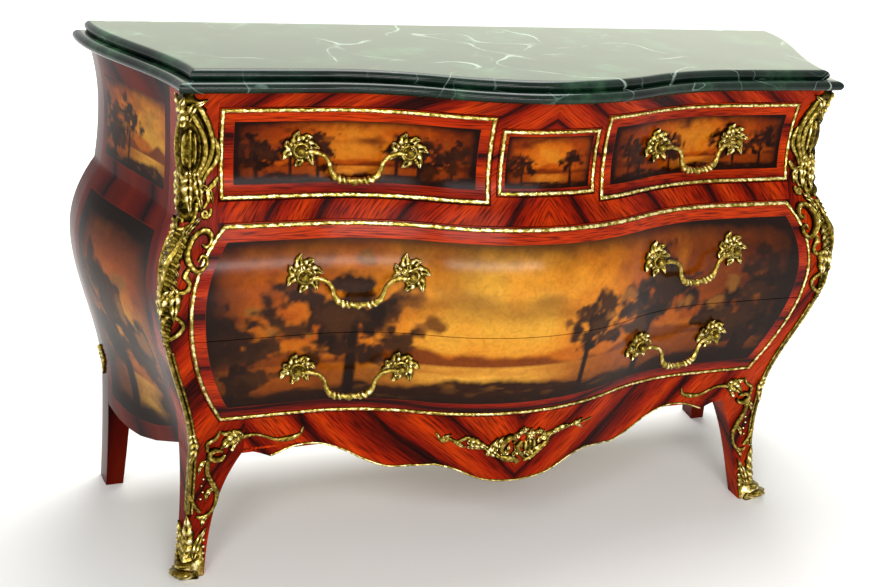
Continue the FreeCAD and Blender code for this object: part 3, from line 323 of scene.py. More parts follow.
def landscape(x, z, low, high, left, right, seed, glow):
    """A made-up evening view: an amber sky that glows round one point behind drifting cloud, a hazy ridge, a
    lake that mirrors the glow, trees built of ragged dabs on the near bank, and edges that sink into umber."""
    def hue(code):
        return np.array(linear(code)[:3])

    def lay(colour, code, cover):
        return colour + (hue(code) - colour) * np.clip(cover, 0, 1)[:, None]

    width, tall = right - left, high - low
    u, v = (x - left) / width, (z - low) / tall
    cloud, puff = noise(x, z * 2.4, tall * 0.5, seed), noise(x, z * 1.4, tall * 0.2, seed + 1)
    ragged = noise(x, z, tall * 0.07, seed + 2) - 0.5
    reach = min(tall, 0.36 * width)
    far = np.hypot((x - glow[0]) / reach, (z - glow[1]) / reach * 1.35)
    view = np.repeat(hue("#5A2204")[None], len(x), 0)
    view = lay(view, "#B25206", 1.2 * np.exp(-(far / 1.6) ** 2) + 0.9 * (cloud - 0.5))
    view = lay(view, "#D67C10", 1.3 * np.exp(-(far / 0.85) ** 2) + 1.2 * (puff - 0.62))
    view = lay(view, "#D0942E", 1.6 * np.exp(-(far / 0.5) ** 2) * (0.25 + puff))
    view = lay(view, "#4E1C04", 3 * (cloud - 0.56) * np.clip(4 * v - 1.8, 0, 1))
    ridge = low + tall * (0.4 + 0.24 * (noise(x, 0 * x, tall * 0.6, seed + 3) - 0.5))
    view = lay(view, "#B05C0C", 0.75 * (ridge - z) / (0.03 * tall))
    ridge = low + tall * (0.34 + 0.3 * (noise(x, 0 * x + 40, tall * 0.35, seed + 4) - 0.5))
    view = lay(view, "#743408", 0.85 * (ridge - z) / (0.03 * tall) + 0.8 * ragged * (z < ridge))
    water = np.clip((low + tall * 0.27 - z) / (0.015 * tall), 0, 1)
    view = lay(view, "#964808", 0.85 * water)
    gleam = np.exp(-((x - glow[0]) / reach / 0.45) ** 2) * (noise(x, z * 8, tall * 0.3, seed + 5) + 0.2)
    view = lay(view, "#F0B040", water * gleam)
    bank = low + tall * (0.13 + 0.2 * (noise(x, 0 * x + 9, tall * 0.4, seed + 6) - 0.4))
    view = lay(view, "#301606", (bank - z) / (0.03 * tall) + 1.5 * ragged)
    view = lay(view, "#8A5418", 2.4 * (noise(x, z * 4, tall * 0.12, seed + 7) - 0.6) * (z < bank))
    picks = np.random.default_rng(seed)
    trees = max(2, round(width / tall * 1.7))
    places = left + width * (np.arange(trees) + 0.2 + 0.6 * picks.random(trees)) / trees
    for stem in places[np.abs(places - glow[0]) > 0.3 * reach]:
        size = tall * (0.14 + 0.13 * picks.random())
        head = low + tall * (0.4 + 0.22 * picks.random())
        lean = 0.15 * (picks.random() - 0.5)
        trunk = np.abs(x - stem - lean * (z - low)) / (0.1 * size) - 1
        view = lay(view, "#1C0C04", 1.5 * (0.6 - trunk) * (z < head) * (z > low))
        toward = np.sign(glow[0] - stem)
        for dab in range(36):
            side, rise = picks.normal(0, 0.62), picks.normal(0, 0.5)
            bright = side * toward + rise > 0.85
            away = np.hypot((x - stem - size * side) / 1.3, z - head - size * rise)
            away /= size * (0.2 if bright else 0.4)
            code = ["#8A541A", "#6E3F10"][dab % 2] if bright else ["#1C0C04", "#2C1506", "#3E2008"][dab % 3]
            view = lay(view, code, 1.6 * (1.1 - away + 2.4 * ragged))
    edge = np.minimum(np.minimum(u, 1 - u) * width, np.minimum(v, 1 - v) * tall * 1.3).clip(0) * (1 + ragged)
    return lay(view, "#1A0A04", 0.9 * np.exp(-(edge / (0.13 * tall)) ** 1.3) + 0.5 * np.clip(far - 1.2, 0, 1))


def paint(made, inside, picture):
    """Stores a picture on a piece as the attribute paint, its alpha 1 inside the picture and 0 on the border."""
    spots = np.empty(len(made.data.vertices) * 3, np.float32)
    made.data.vertices.foreach_get("co", spots)
    x, y, z = spots.reshape(-1, 3).astype(float).T * PER_METRE
    colour = np.concatenate([picture(x, y, z), inside(x, y, z).astype(float)[:, None]], 1)
    stored = made.data.attributes.new("paint", "FLOAT_COLOR", "POINT")
    stored.data.foreach_set("color", colour.astype(np.float32).ravel())


def painted_lacquer(name, lean, darkening, gloss):
    """Oil-painted panel in a kingwood border under yellowed varnish: brush marks 12 mm long, a fine stringing
    line where picture and border meet, and a faint unevenness in the gloss."""
    panel = finish(name, Roughness=0.17, Specular_IOR_Level=gloss)
    place = add(panel, "TexCoord", output="Object")
    picture = add(panel, "Attribute", attribute_name="paint")
    alpha = picture.node.outputs["Alpha"]
    stroke = add(panel, "TexNoise", {"Vector": place, "Scale": 1 / 0.012, "Detail": 4.0, "Distortion": 1.2})
    dab = add(panel, "ValToRGB", {"Fac": stroke}, [(0.3, "#B4A48E"), (0.62, "#FFFFFF")])
    brushed = add(panel, "Mix", {6: picture, 7: dab, "Factor": 0.4}, data_type="RGBA", blend_type="MULTIPLY")
    inside = add(panel, "MapRange", {"Value": alpha, "From Min": 0.3, "From Max": 0.7})
    veneer = kingwood_colour(panel, lean, 0.09, darkening=darkening)
    surround = add(panel, "Mix", {6: veneer, 7: brushed, "Factor": inside}, data_type="RGBA")
    line = add(panel, "ValToRGB", {"Fac": alpha}, [(0.1, "#000000"), (0.9, "#000000"), (0.5, "#8C8C8C")])
    strung = add(panel, "Mix", {6: surround, 7: linear("#B4380E"), "Factor": line}, data_type="RGBA")
    link(panel, strung, "Base Color")
    link(panel, add(panel, "Bump", {"Height": stroke, "Strength": 0.06, "Distance": 0.001}), "Normal")
    return panel


STILE = 50
STILE_FRONT = BACK - STILE
SIDE_THICKNESS = 22
SIDE_BORDER, SIDE_LINE = 24, 1.5
SMALL_LOW, SMALL_HIGH = 668, 807.5
# The tall picture's edges as shares of the way from the arch to the crease.
TALL_LOW, TALL_HIGH, TALL_LINE = 0.065, 0.93, 0.005
VIEW_FRONT, VIEW_BACK = -100, 190
# The sides' kingwood surround is darkened by a tint as painted shade, darker than the front's.
side_paint = painted_lacquer("painted_lacquer_sides", lean=62, darkening="#8C7C74", gloss=0.04)
span = STILE_FRONT - (BACK - DEPTHS[1] + POST_DEPTH)
run_lines = spread(np.array([0, SIDE_BORDER - SIDE_LINE, SIDE_BORDER, span - SIDE_BORDER,
                             span - SIDE_BORDER + SIDE_LINE, span]) / span, [5, 1, 84, 1, 5])
arch_edge = np.interp(run_lines, [0, 0.12, 0.3, 0.5, 0.63, 0.8, 1], [220, 206, 186, 171, 168, 170, 178])
low_rows = spread(np.array([0, TALL_LOW, TALL_LOW + TALL_LINE, TALL_HIGH - TALL_LINE, TALL_HIGH, 1]),
                  [5, 1, 110, 1, 5])
high_rows = spread(np.array([CREASE, SMALL_LOW, SMALL_LOW + SIDE_LINE, SMALL_HIGH - SIDE_LINE, SMALL_HIGH, TOP]),
                   [5, 1, 44, 1, 5])
side_z = np.concatenate([arch_edge + (CREASE - arch_edge) * low_rows[:, None],
                         np.repeat(high_rows[1:, None], len(run_lines), 1)])
side_front = flank(side_z) + POST_DEPTH
side_y = side_front + (STILE_FRONT - side_front) * run_lines
outer = np.stack([side_x(side_y, side_z), side_y, side_z], -1)
right_side = shell(outer, outer - (SIDE_THICKNESS, 0, 0))


def side_inside(x, y, z):
    """1 within the small or the tall picture of a side."""
    front = flank(z) + POST_DEPTH
    run = (y - front) / (STILE_FRONT - front) * span
    arch = np.interp(run / span, run_lines, arch_edge)
    rise = (z - arch) / (CREASE - arch)
    tall = (rise > TALL_LOW + TALL_LINE / 2) & (rise < TALL_HIGH - TALL_LINE / 2) & (z < CREASE)
    small = (z > SMALL_LOW + SIDE_LINE / 2) & (z < SMALL_HIGH - SIDE_LINE / 2)
    rim = SIDE_BORDER - SIDE_LINE / 2
    return (run > rim) & (run < span - rim) & (tall | small)


def side_view(seed):
    """Two pictures for a side, the small one above the crease and the tall one below it."""
    def picture(x, y, z):
        upper = landscape(y, z, 669, 807, VIEW_FRONT, VIEW_BACK, seed, glow=(20, 745))
        lower = landscape(y, z, 190, 615, VIEW_FRONT, VIEW_BACK, seed + 20, glow=(30, 420))
        return np.where((z > CREASE)[:, None], upper, lower)
    return picture


for way, shape, seed in [("right", right_side, 5), ("left", mirrored(right_side), 11)]:
    made = piece(way + "_side", "case", side_paint, [shape], ["case_side_" + way])
    paint(made, side_inside, side_view(seed))


# Back legs: square softwood stiles, one piece from the floor to the top, flat behind, with a plain tapered foot.
# Veneered with kingwood on their outer faces, and darker than the front.
REAR_FOOT_DEPTH, REAR_FOOT_WIDTH, STILE_WIDTH, REAR_FLARE, REAR_EASE = 46, 32, 45, 6, 1.5
dark_kingwood = kingwood("kingwood_veneer_back_legs", lean=80, width=0.2, darkening="#7A6A64")
rear_z = np.concatenate([np.linspace(0, BASE, 30), np.linspace(BASE, CREASE, 60)[1:],
                         np.linspace(CREASE, TOP, 30)[1:]])
rise = np.clip(rear_z / BASE, 0, 1)
rear_depth = REAR_FOOT_DEPTH + (STILE - REAR_FOOT_DEPTH) * rise
rear_width = REAR_FOOT_WIDTH + (STILE_WIDTH - REAR_FOOT_WIDTH) * rise
rear_out = np.where(rear_z < BASE, WIDTHS[0] + REAR_FLARE * (1 - rise) ** 2, swell(WIDTHS, rear_z))
slant = WIDTHS[0] - side_x(STILE_FRONT, BASE)
rear_slant = np.where(rear_z < BASE, slant * rear_depth / STILE, rear_out - side_x(STILE_FRONT, rear_z))
corners = [(rear_out - rear_slant, BACK - rear_depth), (rear_out - 0.3 * rear_slant, BACK - rear_depth / 2),
           (rear_out, BACK - REAR_EASE), (rear_out - REAR_EASE, BACK), (rear_out - rear_width, BACK),
           (rear_out - rear_slant - rear_width, BACK - rear_depth)]
rear = loft(np.stack([np.stack([x, y + 0 * rear_z, rear_z], -1) for x, y in corners], 1))
piece("right_back_leg", "case", dark_kingwood, [rear], ["back_leg_right"])
piece("left_back_leg", "case", dark_kingwood, [mirrored(rear)], ["back_leg_left"])


# Rails, centre frame and apron: softwood that follows the bowed front, veneered with kingwood laid aslant,
# the leaves turned over at the middle. The apron hangs in a lobed drop with an arch each side.
BOW, BOW_HALF = 80, 380
TURN = BOW_HALF / 2
BOW_RADIUS = (TURN ** 2 + (BOW / 2) ** 2) / BOW
ROW_LOW, ROW_HIGH = 672.5, 822.5
PIER_HALF, WINDOW_HALF, WINDOW_LOW, WINDOW_HIGH = 98.5, 90.5, 686.5, 801.5
APRON_LINE, APRON_DROP, APRON_DEPTH = 220, 70, 30


def bell(x):
    """How far the front bows out at x: an arc that swells forward in the middle half and one that
    runs out flat on each side."""
    away = np.minimum(np.abs(x), BOW_HALF)
    crown = BOW - BOW_RADIUS + np.sqrt(BOW_RADIUS ** 2 - np.minimum(away, TURN) ** 2)
    tail = BOW_RADIUS - np.sqrt(BOW_RADIUS ** 2 - (BOW_HALF - np.maximum(away, TURN)) ** 2)
    return np.where(away < TURN, crown, tail)


def front_y(x, z):
    """Y of the front's veneer."""
    return flank(z) - bell(x)


def front_block(x, z, depth):
    """Closed block between two grids x and z on the front's veneer and the same grid that much deeper."""
    outer = np.stack([x, front_y(x, z), z], -1)
    return shell(outer, outer + (0, depth, 0))


def curve(table, count):
    """Points along a smooth curve through the rows of a table: each stretch is a cubic whose slope at a row
    is half the step between its neighbours."""
    rows = np.asarray(table, float)
    padded = np.concatenate([2 * rows[:1] - rows[1:2], rows, 2 * rows[-1:] - rows[-2:-1]])
    spot = np.linspace(0, len(rows) - 1, count)
    i = np.minimum(spot.astype(int), len(rows) - 2)
    t = (spot - i)[:, None]
    a, b, c, d = (padded[i + k] for k in range(4))
    return b + t * ((c - a) / 2 + t * (a - 2.5 * b + 2 * c - d / 2 + t * (1.5 * (b - c) + (d - a) / 2)))


rail_kingwood = kingwood("kingwood_veneer_rails", lean=-42, width=0.07, matched=True)
for name, low, high in [("middle_rail", CREASE, ROW_LOW), ("top_rail", ROW_HIGH, TOP)]:
    x, z = np.meshgrid(np.linspace(-ROW_END - GAP, ROW_END + GAP, 220), np.linspace(low, high, 8))
    piece(name, "case", rail_kingwood, [front_block(x, z, POST_DEPTH)], [name])


def rectangle(half, low, high, deep, count=40):
    """Points round a rectangle on the front, so many to each side, moved back by deep."""
    steps, flat = np.linspace(-1, 1, count, endpoint=False), np.ones(count)
    middle, tall = (low + high) / 2, (high - low) / 2
    x = half * np.concatenate([steps, flat, -steps, -flat])
    z = middle + tall * np.concatenate([-flat, steps, flat, -steps])
    return np.stack([x, front_y(x, z) + deep, z], -1)


pier, window = (PIER_HALF, ROW_LOW, ROW_HIGH), (WINDOW_HALF, WINDOW_LOW, WINDOW_HIGH)
loops = np.stack([rectangle(*pier, 0), rectangle(*window, 0), rectangle(*window, POST_DEPTH),
                  rectangle(*pier, POST_DEPTH)])
index = np.pad(np.arange(loops[..., 0].size).reshape(loops.shape[:2]), (0, 1), "wrap")
centre = loops.reshape(-1, 3), [grid_faces(index)], np.ones(loops[..., 0].size)
piece("centre_frame", "case", rail_kingwood, [centre], ["centre_frame"])

DROP = [(0, 1), (0.13, 0.9), (0.24, 0.58), (0.31, 0.47)]
LOBE = [(0.31, 0.47), (0.39, 0.55), (0.47, 0.62), (0.55, 0.46), (0.63, 0.18), (0.72, -0.04), (0.81, -0.04),
        (0.9, 0.17)]
ARCH = [(0.9, 0.17), (0.96, 0), (1, -0.03)]
drop = np.array(DROP)
drop_line = curve(np.concatenate([drop[:0:-1] * (-1, 1), drop]), 120)
half_line = np.concatenate([drop_line[60:], curve(LOBE, 110)[1:], curve(ARCH, 30)[1:]])
apron_kingwood = kingwood("kingwood_veneer_apron", lean=48, width=0.075, matched=True)
full_line = np.concatenate([half_line[::-1] * (-1, 1), half_line])
x = full_line[:, 0] * APRON_END
lower = APRON_LINE - full_line[:, 1] * APRON_DROP
z = lower + (APRON_TOP - lower) * np.linspace(0, 1, 22)[:, None]
apron = front_block(x + 0 * z, z, APRON_DEPTH)
piece("apron", "case", apron_kingwood, [apron], ["apron"])


# Marble top: one slab of polished dark green stone with white veins, laid loose on the case. Its edge is
# worked in two rounded tiers, the lower one standing out.
TIER, HEIGHT = 864, 880
OVER_FRONT, OVER_CORNER, OVER_SIDE = 17, 10, 25
ROUND, SET_BACK, FLAT = 10, 20, 34


def marble_ring(out, z, count=72):
    """The slab's plan at one height: bowed front, right side, straight back and left side, grown by out."""
    front = BACK - DEPTHS[-1] - OVER_FRONT - out
    corner, width = CORNERS[-1] + OVER_CORNER + out, WIDTHS[-1] + OVER_SIDE + out
    share = np.linspace(0, 1, count)
    side = side_plan(share, corner, width)
    side_run = front + share * (BACK - front)
    face = np.linspace(-corner, corner, 3 * count)[1:-1]
    x = np.concatenate([face, side, -side[::-1]])
    y = np.concatenate([front - bell(face), side_run, side_run[::-1]])
    return np.stack([x, y, 0 * x + z], -1)


rings = []
for low, high, reach, first, last in [(TOP, TIER, 0, -65, 75), (TIER, HEIGHT, -SET_BACK, -50, 90)]:
    turns = np.radians(np.linspace(first, last, 15))
    rises = (np.sin(turns) - np.sin(turns[0])) / (np.sin(turns[-1]) - np.sin(turns[0]))
    for turn, up_share in zip(turns, rises):
        rings.append(marble_ring(reach - ROUND * (1 - np.cos(turn)), low + (high - low) * up_share))
rings.append(marble_ring(-FLAT, HEIGHT))

green_marble = finish("polished_green_marble", Roughness=0.1, Specular_IOR_Level=0.22)
# Serpentine marble: near-black green clouds 90 mm across, a few thin broken white veins, polished to a mirror.
place = add(green_marble, "TexCoord", output="Object")
cloud = add(green_marble, "TexNoise", {"Vector": place, "Scale": 1 / 0.09, "Detail": 8.0, "Roughness": 0.62})
warp = add(green_marble, "TexNoise", {"Vector": place, "Scale": 1 / 0.2, "Detail": 5.0}, output="Color")
shift = add(green_marble, "VectorMath", {0: warp, 1: (0.06, 0.06, 0.06)}, operation="MULTIPLY")
bent = add(green_marble, "VectorMath", {0: place, 1: shift}, operation="ADD")
broken = add(green_marble, "TexNoise", {"Vector": place, "Scale": 1 / 0.11, "Detail": 4.0})
veined = add(green_marble, "ValToRGB", {"Fac": cloud}, [(0.36, "#04100A"), (0.72, "#2C4E34"), (0.54, "#0B2216")])
for size, thin, strong, code in [(0.3, 0.005, 0.6, "#C8DCCC"), (0.12, 0.006, 0.35, "#8FB0A0")]:
    field = add(green_marble, "TexNoise", {"Vector": bent, "Scale": 1 / size, "Detail": 2.0})
    crack = add(green_marble, "Math", {0: field, 1: 0.5}, operation="SUBTRACT")
    away = add(green_marble, "Math", {0: crack}, operation="ABSOLUTE")
    vein = add(green_marble, "MapRange",
               {"Value": away, "From Min": 0.0, "From Max": thin, "To Min": strong, "To Max": 0.0})
    shown = add(green_marble, "MapRange", {"Value": broken, "From Min": 0.46, "From Max": 0.62})
    cover = add(green_marble, "Math", {0: vein, 1: shown}, operation="MULTIPLY")
    veined = add(green_marble, "Mix", {6: veined, 7: linear(code), "Factor": cover}, data_type="RGBA")
link(green_marble, veined, "Base Color")
piece("marble_top", "case", green_marble, [loft(np.stack(rings))], ["marble_top"], sharp=30)


# Drawer fronts: softwood cut from the swelling front, each with a painted picture in a kingwood border.
# The two long drawers share one picture, parted by their seam.
long_paint = painted_lacquer("painted_lacquer_long_fronts", lean=0, darkening="#FFFFFF", gloss=0.11)
row_paint = painted_lacquer("painted_lacquer_row_fronts", lean=0, darkening="#FFFFFF", gloss=0.04)
FRONT_DEPTH = 28
LINE = 1.6
SEAM = 455
ROW_MIDDLE, ROW_HALF = (ROW_END + PIER_HALF + GAP) / 2, (ROW_END - PIER_HALF - GAP) / 2


def straight(half_width):
    """A half width that is the same at every height."""
    return lambda z: 0 * z + half_width


# Half width by height, lower and upper edge, whether the picture runs on below and above, middle.
FRONTS = {
    "upper_drawer": (panel_half, SEAM + GAP / 2, PANEL_HIGH, True, False, 0),
    "lower_drawer": (panel_half, PANEL_LOW, SEAM - GAP / 2, False, True, 0),
    "right_drawer": (straight(ROW_HALF), ROW_LOW + GAP, ROW_HIGH - GAP, False, False, ROW_MIDDLE),
    "left_drawer": (straight(ROW_HALF), ROW_LOW + GAP, ROW_HIGH - GAP, False, False, -ROW_MIDDLE),
    "small_drawer": (straight(WINDOW_HALF - GAP), WINDOW_LOW + GAP, WINDOW_HIGH - GAP, False, False, 0)}


def drawer_front(stem, lacquer, border, view):
    """A front as a block of the case's swelling form, with lines of its grid along the picture's border."""
    half, low, high, open_low, open_high, middle = FRONTS[stem]
    foot = [low] if open_low else [low, low + border - LINE, low + border]
    head = [high] if open_high else [high - border, high - border + LINE, high]
    fill = max(4, int((head[0] - foot[-1]) / 3))
    rows = spread(np.array(foot + head, float), [5, 1][:len(foot) - 1] + [fill] + [1, 5][:len(head) - 1])
    width = half(rows)
    fine = max(8, int(2 * width.max() / 3.2))
    marks = np.array([0, 0.9, 1, 2, 2.1, 3])
    pattern = spread(marks, [5, 1, fine, 1, 5])
    stops = np.stack([-width, -width + border - LINE, -width + border, width - border,
                      width - border + LINE, width], 1)
    x = np.stack([np.interp(pattern, marks, row) for row in stops]) + middle
    block = front_block(x, rows[:, None] + 0 * x, FRONT_DEPTH)
    made = piece(stem + "_front", stem, lacquer, [block], [stem + "_front"])

    def inside(x, y, z):
        side = half(z) - np.abs(x - middle) > border - 0.5 * LINE
        above = open_low | (z > low + border - 0.5 * LINE)
        below = open_high | (z < high - border + 0.5 * LINE)
        return side & above & below

    paint(made, inside, view)


def long_view(x, y, z):
    """One wide picture across both long drawers."""
    return landscape(x, z, PANEL_LOW + LONG_BORDER, PANEL_HIGH - LONG_BORDER, left=-556, right=556, seed=3,
                     glow=(-90, 500))


def row_view(stem, border, seed):
    """A picture for one drawer of the top row, its glow a little above the middle."""
    half, low, high, _, _, middle = FRONTS[stem]
    reach = half(low) - border
    return lambda x, y, z: ROW_VARNISH * landscape(x, z, low + border, high - border, middle - reach,
                                                   middle + reach, seed, glow=(middle, (low + high) / 2 + 10))


LONG_BORDER, ROW_BORDER, SMALL_BORDER = 27, 24, 13
# The row's pictures are redder: share of each colour that their darker varnish lets through.
ROW_VARNISH = np.array([0.8, 0.52, 0.32])
for stem in ("lower_drawer", "upper_drawer"):
    drawer_front(stem, long_paint, LONG_BORDER, long_view)
for stem, border, seed in [("right_drawer", ROW_BORDER, 31), ("left_drawer", ROW_BORDER, 47),
                           ("small_drawer", SMALL_BORDER, 59)]:
    drawer_front(stem, row_paint, border, row_view(stem, border, seed))


# Brass frames: cast gilt mouldings 7 mm wide, chased with small leaves and pinned round each front's edge.
# The two long drawers carry one frame between them.
gilt_brass = finish("fire_gilt_brass", Metallic=1.0)
# Cast and chased brass, fire gilt: bright yellow on rubbed crests, olive brown to near black in the hollows, where
# grime sits and painted shade darkens them further.
relief = add(gilt_brass, "Attribute", output="Fac", attribute_name="relief")
place = add(gilt_brass, "TexCoord", output="Object")
mottle = add(gilt_brass, "TexNoise", {"Vector": place, "Scale": 1 / 0.008, "Detail": 4.0, "Roughness": 0.65})
worn = add(gilt_brass, "Math", {0: mottle, 1: 0.5}, operation="SUBTRACT")
# Mottled wear plus the relief: its dark end in the hollows is grime with painted shade, its bright end the rubbed
# crests.
wear_and_hollow_shade = add(gilt_brass, "Math", {0: worn, 1: 1.5, 2: relief}, operation="MULTIPLY_ADD")
gold = add(gilt_brass, "ValToRGB", {"Fac": wear_and_hollow_shade},
           [(0.12, "#130D02"), (1.0, "#F2E4AA"), (0.42, "#42350B"), (0.7, "#84702A"), (0.88, "#BEA556")])
polish = add(gilt_brass, "MapRange", {"Value": wear_and_hollow_shade, "To Min": 0.55, "To Max": 0.24})
grit = add(gilt_brass, "TexNoise", {"Vector": place, "Scale": 1 / 0.003, "Detail": 2.0})
link(gilt_brass, gold, "Base Color")
link(gilt_brass, polish, "Roughness")
link(gilt_brass, add(gilt_brass, "Bump", {"Height": grit, "Strength": 0.35, "Distance": 0.001}), "Normal")


def on_front(spots):
    """Points of the front from x, z and a height off the veneer along its normal."""
    x, z, lift = np.moveaxis(spots, -1, 0)
    step = 0.5
    slope_x = (front_y(x + step, z) - front_y(x - step, z)) / (2 * step)
    slope_z = (front_y(x, z + step) - front_y(x, z - step)) / (2 * step)
    length = np.sqrt(1 + slope_x ** 2 + slope_z ** 2)
    return np.stack([x + lift * slope_x / length, front_y(x, z) - lift / length, z + lift * slope_z / length], -1)


def square(step):
    """Unit vectors square to steps along a path, to its left."""
    return np.stack([-step[:, 1], step[:, 0]], -1) / np.linalg.norm(step, axis=1)[:, None]


def distance(path):
    """How far each point of a path lies from its start, measured along it."""
    return np.concatenate([[0], np.cumsum(np.linalg.norm(np.diff(path, axis=0), axis=1))])


def moulding(path, width, height, closed, beat):
    """A half-round bead along a path on the veneer, mitred at corners, its crest chased unevenly, a beat from
    hollow to hollow."""
    ahead = np.roll(path, -1, 0) - path
    behind = path - np.roll(path, 1, 0)
    if not closed:
        ahead[-1], behind[0] = behind[-1], ahead[0]
    one, other = square(ahead), square(behind)
    mitre = (one + other) / (1 + (one * other).sum(1))[:, None]
    run = distance(path)
    turn = np.radians(np.linspace(-10, 190, 9))
    notch = 0.5 + 0.75 * noise(run[:, None] + 0 * turn, width * np.cos(turn) + 0 * run[:, None], beat, 77)
    lift = height * np.clip(np.sin(turn), -0.3, 1) * notch
    spots = path[:, None] + mitre[:, None] * (np.cos(turn) * width / 2)[:, None]
    rings = np.concatenate([spots, lift[..., None]], -1)
    if closed:
        rings, lift = np.concatenate([rings, rings[:1]]), np.concatenate([lift, lift[:1]])
    return rings, np.clip(lift / height * 1.1, 0, 1)


def laid(rings, relief, lay):
    """A closed skin over rings given on the veneer, brought to their place by the function lay."""
    points, faces, _ = loft(lay(rings))
    return points, faces, np.concatenate([relief.reshape(-1), [0, 0]])


def edge_path(half, low, high, open_low, open_high, inset=4.5, step=1.6):
    """Left edge up, top, right edge down and bottom of a front, moved in by the inset; an open edge is left out."""
    z = np.linspace(low if open_low else low + inset, high if open_high else high - inset, int((high - low) / step))
    x = half(z) - inset
    top = np.linspace(-x[-1], x[-1], int(2 * x[-1] / step))[1:-1]
    bottom = np.linspace(x[0], -x[0], int(2 * x[0] / step))[1:-1]
    left, right = np.stack([-x, z], -1), np.stack([x, z], -1)[::-1]
    upper, under = np.stack([top, 0 * top + z[-1]], -1), np.stack([bottom, 0 * bottom + z[0]], -1)
    if open_low:
        return np.concatenate([left, upper, right])
    if open_high:
        return np.concatenate([right, under, left])
    return np.concatenate([left, upper, right, under])


FRAME_WIDTH, FRAME_HEIGHT, FRAME_BEAT = 7, 3, 5
for stem, (half, low, high, open_low, open_high, middle) in FRONTS.items():
    path = edge_path(half, low, high, open_low, open_high) + (middle, 0)
    rings, heights = moulding(path, FRAME_WIDTH, FRAME_HEIGHT, not (open_low or open_high), FRAME_BEAT)
    piece(stem + "_brass_frame", stem, gilt_brass, [laid(rings, heights, on_front)],
          [stem + "_brass_frame"])


# Handles: cast and chased gilt brass, one to each side drawer and two to each long one. A swag bail with a leafy
# middle hangs between two rosettes of curled leaves, on pins through their bosses; a scroll rolls round each boss.
def across(path):
    """Unit vectors square to a path, to its left."""
    return square(np.gradient(path, axis=0))


CUT_PITCH = 9


def bar(table, lay, count=64):
    """A rounded bar laid on the veneer along a smooth path: rows of place, place, width and height. Across
    it the height follows half an ellipse, grooved along the crest and lightly cut across by the chaser."""
    rows = curve(table, count)
    turn = np.radians(np.linspace(-20, 200, 11))
    spots = rows[:, None, :2] + across(rows[:, :2])[:, None] * (np.cos(turn) * rows[:, 2:3] / 2)[..., None]
    run = distance(rows[:, :2])[:, None]
    cuts = 0.5 + 0.5 * np.cos(2 * np.pi * run / CUT_PITCH + 3 * np.cos(turn))
    crest = np.sin(turn) * (1 - 0.18 * np.exp(-(np.cos(turn) / 0.3) ** 2)) * (0.96 + 0.04 * cuts)
    rings = np.concatenate([spots, (rows[:, 3:] * crest)[..., None]], -1)
    return laid(rings, np.clip(crest * (0.74 + 0.14 * cuts), 0, 1), lay)


def scroll(start, heading, length, bends, width, height, count=64):
    """Rows for a bar that rolls up: a line that leaves in one direction, in degrees, and whose bend over its
    whole length runs evenly through the given degrees while the bar thins to half."""
    share = np.linspace(0, 1, count)
    turn = np.interp(share, np.linspace(0, 1, len(bends)), bends)
    angle = np.radians(heading + np.cumsum(turn) / count)
    path = np.array(start) + np.cumsum(np.stack([np.cos(angle), np.sin(angle)], -1), 0) * length / count
    return np.column_stack([path, width * (1 - 0.5 * share), height * (1 - 0.5 * share)])


def leaf(table, width, height, lay, lobes=4, curl=0.0, count=30):
    """An acanthus leaf along a smooth path: it swells from a third of its width and comes to a point, its edge
    notched into lobes, with a sunk midrib, ridges that run out to the lobes, and a tip lifted by curl."""
    path = curve(table, count)
    along = np.linspace(0, 1, count)[:, None]
    side = np.linspace(-1, 1, 13)
    half = width / 2 * np.sin(np.pi * (0.05 + 0.945 * along) ** 0.75) ** 0.9
    notched = half * (0.7 + 0.3 * np.abs(np.cos(np.pi * lobes * along)))
    spots = path[:, None] + across(path)[:, None] * (notched * side)[..., None]
    ridge = np.cos(2 * np.pi * (lobes * along - 0.5 * np.abs(side)))
    top = np.sqrt(1 - 0.9 * side ** 2) * (0.78 + 0.22 * ridge) - 0.45 * np.exp(-(side / 0.16) ** 2)
    body = height * top * (0.35 + 0.65 * np.sin(np.pi * along ** 0.6) ** 0.7)
    raised = curl * along ** 2.5
    upper = lay(np.concatenate([spots, (body + raised)[..., None]], -1))
    lower = lay(np.concatenate([spots, np.maximum(raised - 2.5, -1.0)[..., None] + 0 * spots[..., :1]], -1))
    points, faces, _ = shell(upper, lower)
    return points, faces, np.concatenate([np.clip(0.1 + top, 0, 1).ravel(), np.full(top.size, 0.1)])


def knob(spot, radius, height, lay):
    """A round boss on the veneer: rings of a flattened ball down to just under the surface."""
    turn = np.linspace(0, 2 * np.pi, 13)[:-1]
    rise = np.radians(np.linspace(-15, 89, 7))[:, None]
    rings = np.stack([spot[0] + radius * np.cos(rise) * np.cos(turn), spot[1] + radius * np.cos(rise) * np.sin(turn),
                      height * np.sin(rise) + 0 * turn], -1)
    return laid(rings, np.clip(np.sin(rise) + 0 * turn + 0.2, 0, 1), lay)


def tube(path, radius, up, relief):
    """Circles square to a path in space, radius and relief given at each point, set out so that one direction stays
    up."""
    ahead = np.gradient(path, axis=0)
    ahead /= np.linalg.norm(ahead, axis=1)[:, None]
    side = np.cross(ahead, up)
    side /= np.linalg.norm(side, axis=1)[:, None]
    over = np.cross(side, ahead)
    turn = np.linspace(0, 2 * np.pi, 17)[:-1]
    wave = np.cos(turn)[:, None] * side[:, None] + np.sin(turn)[:, None] * over[:, None]
    points, faces, _ = loft(path[:, None] + wave * radius[..., None])
    shade = relief + 0 * wave[..., 0]
    return points, faces, np.concatenate([shade.ravel(), shade[[0, -1], 0]])


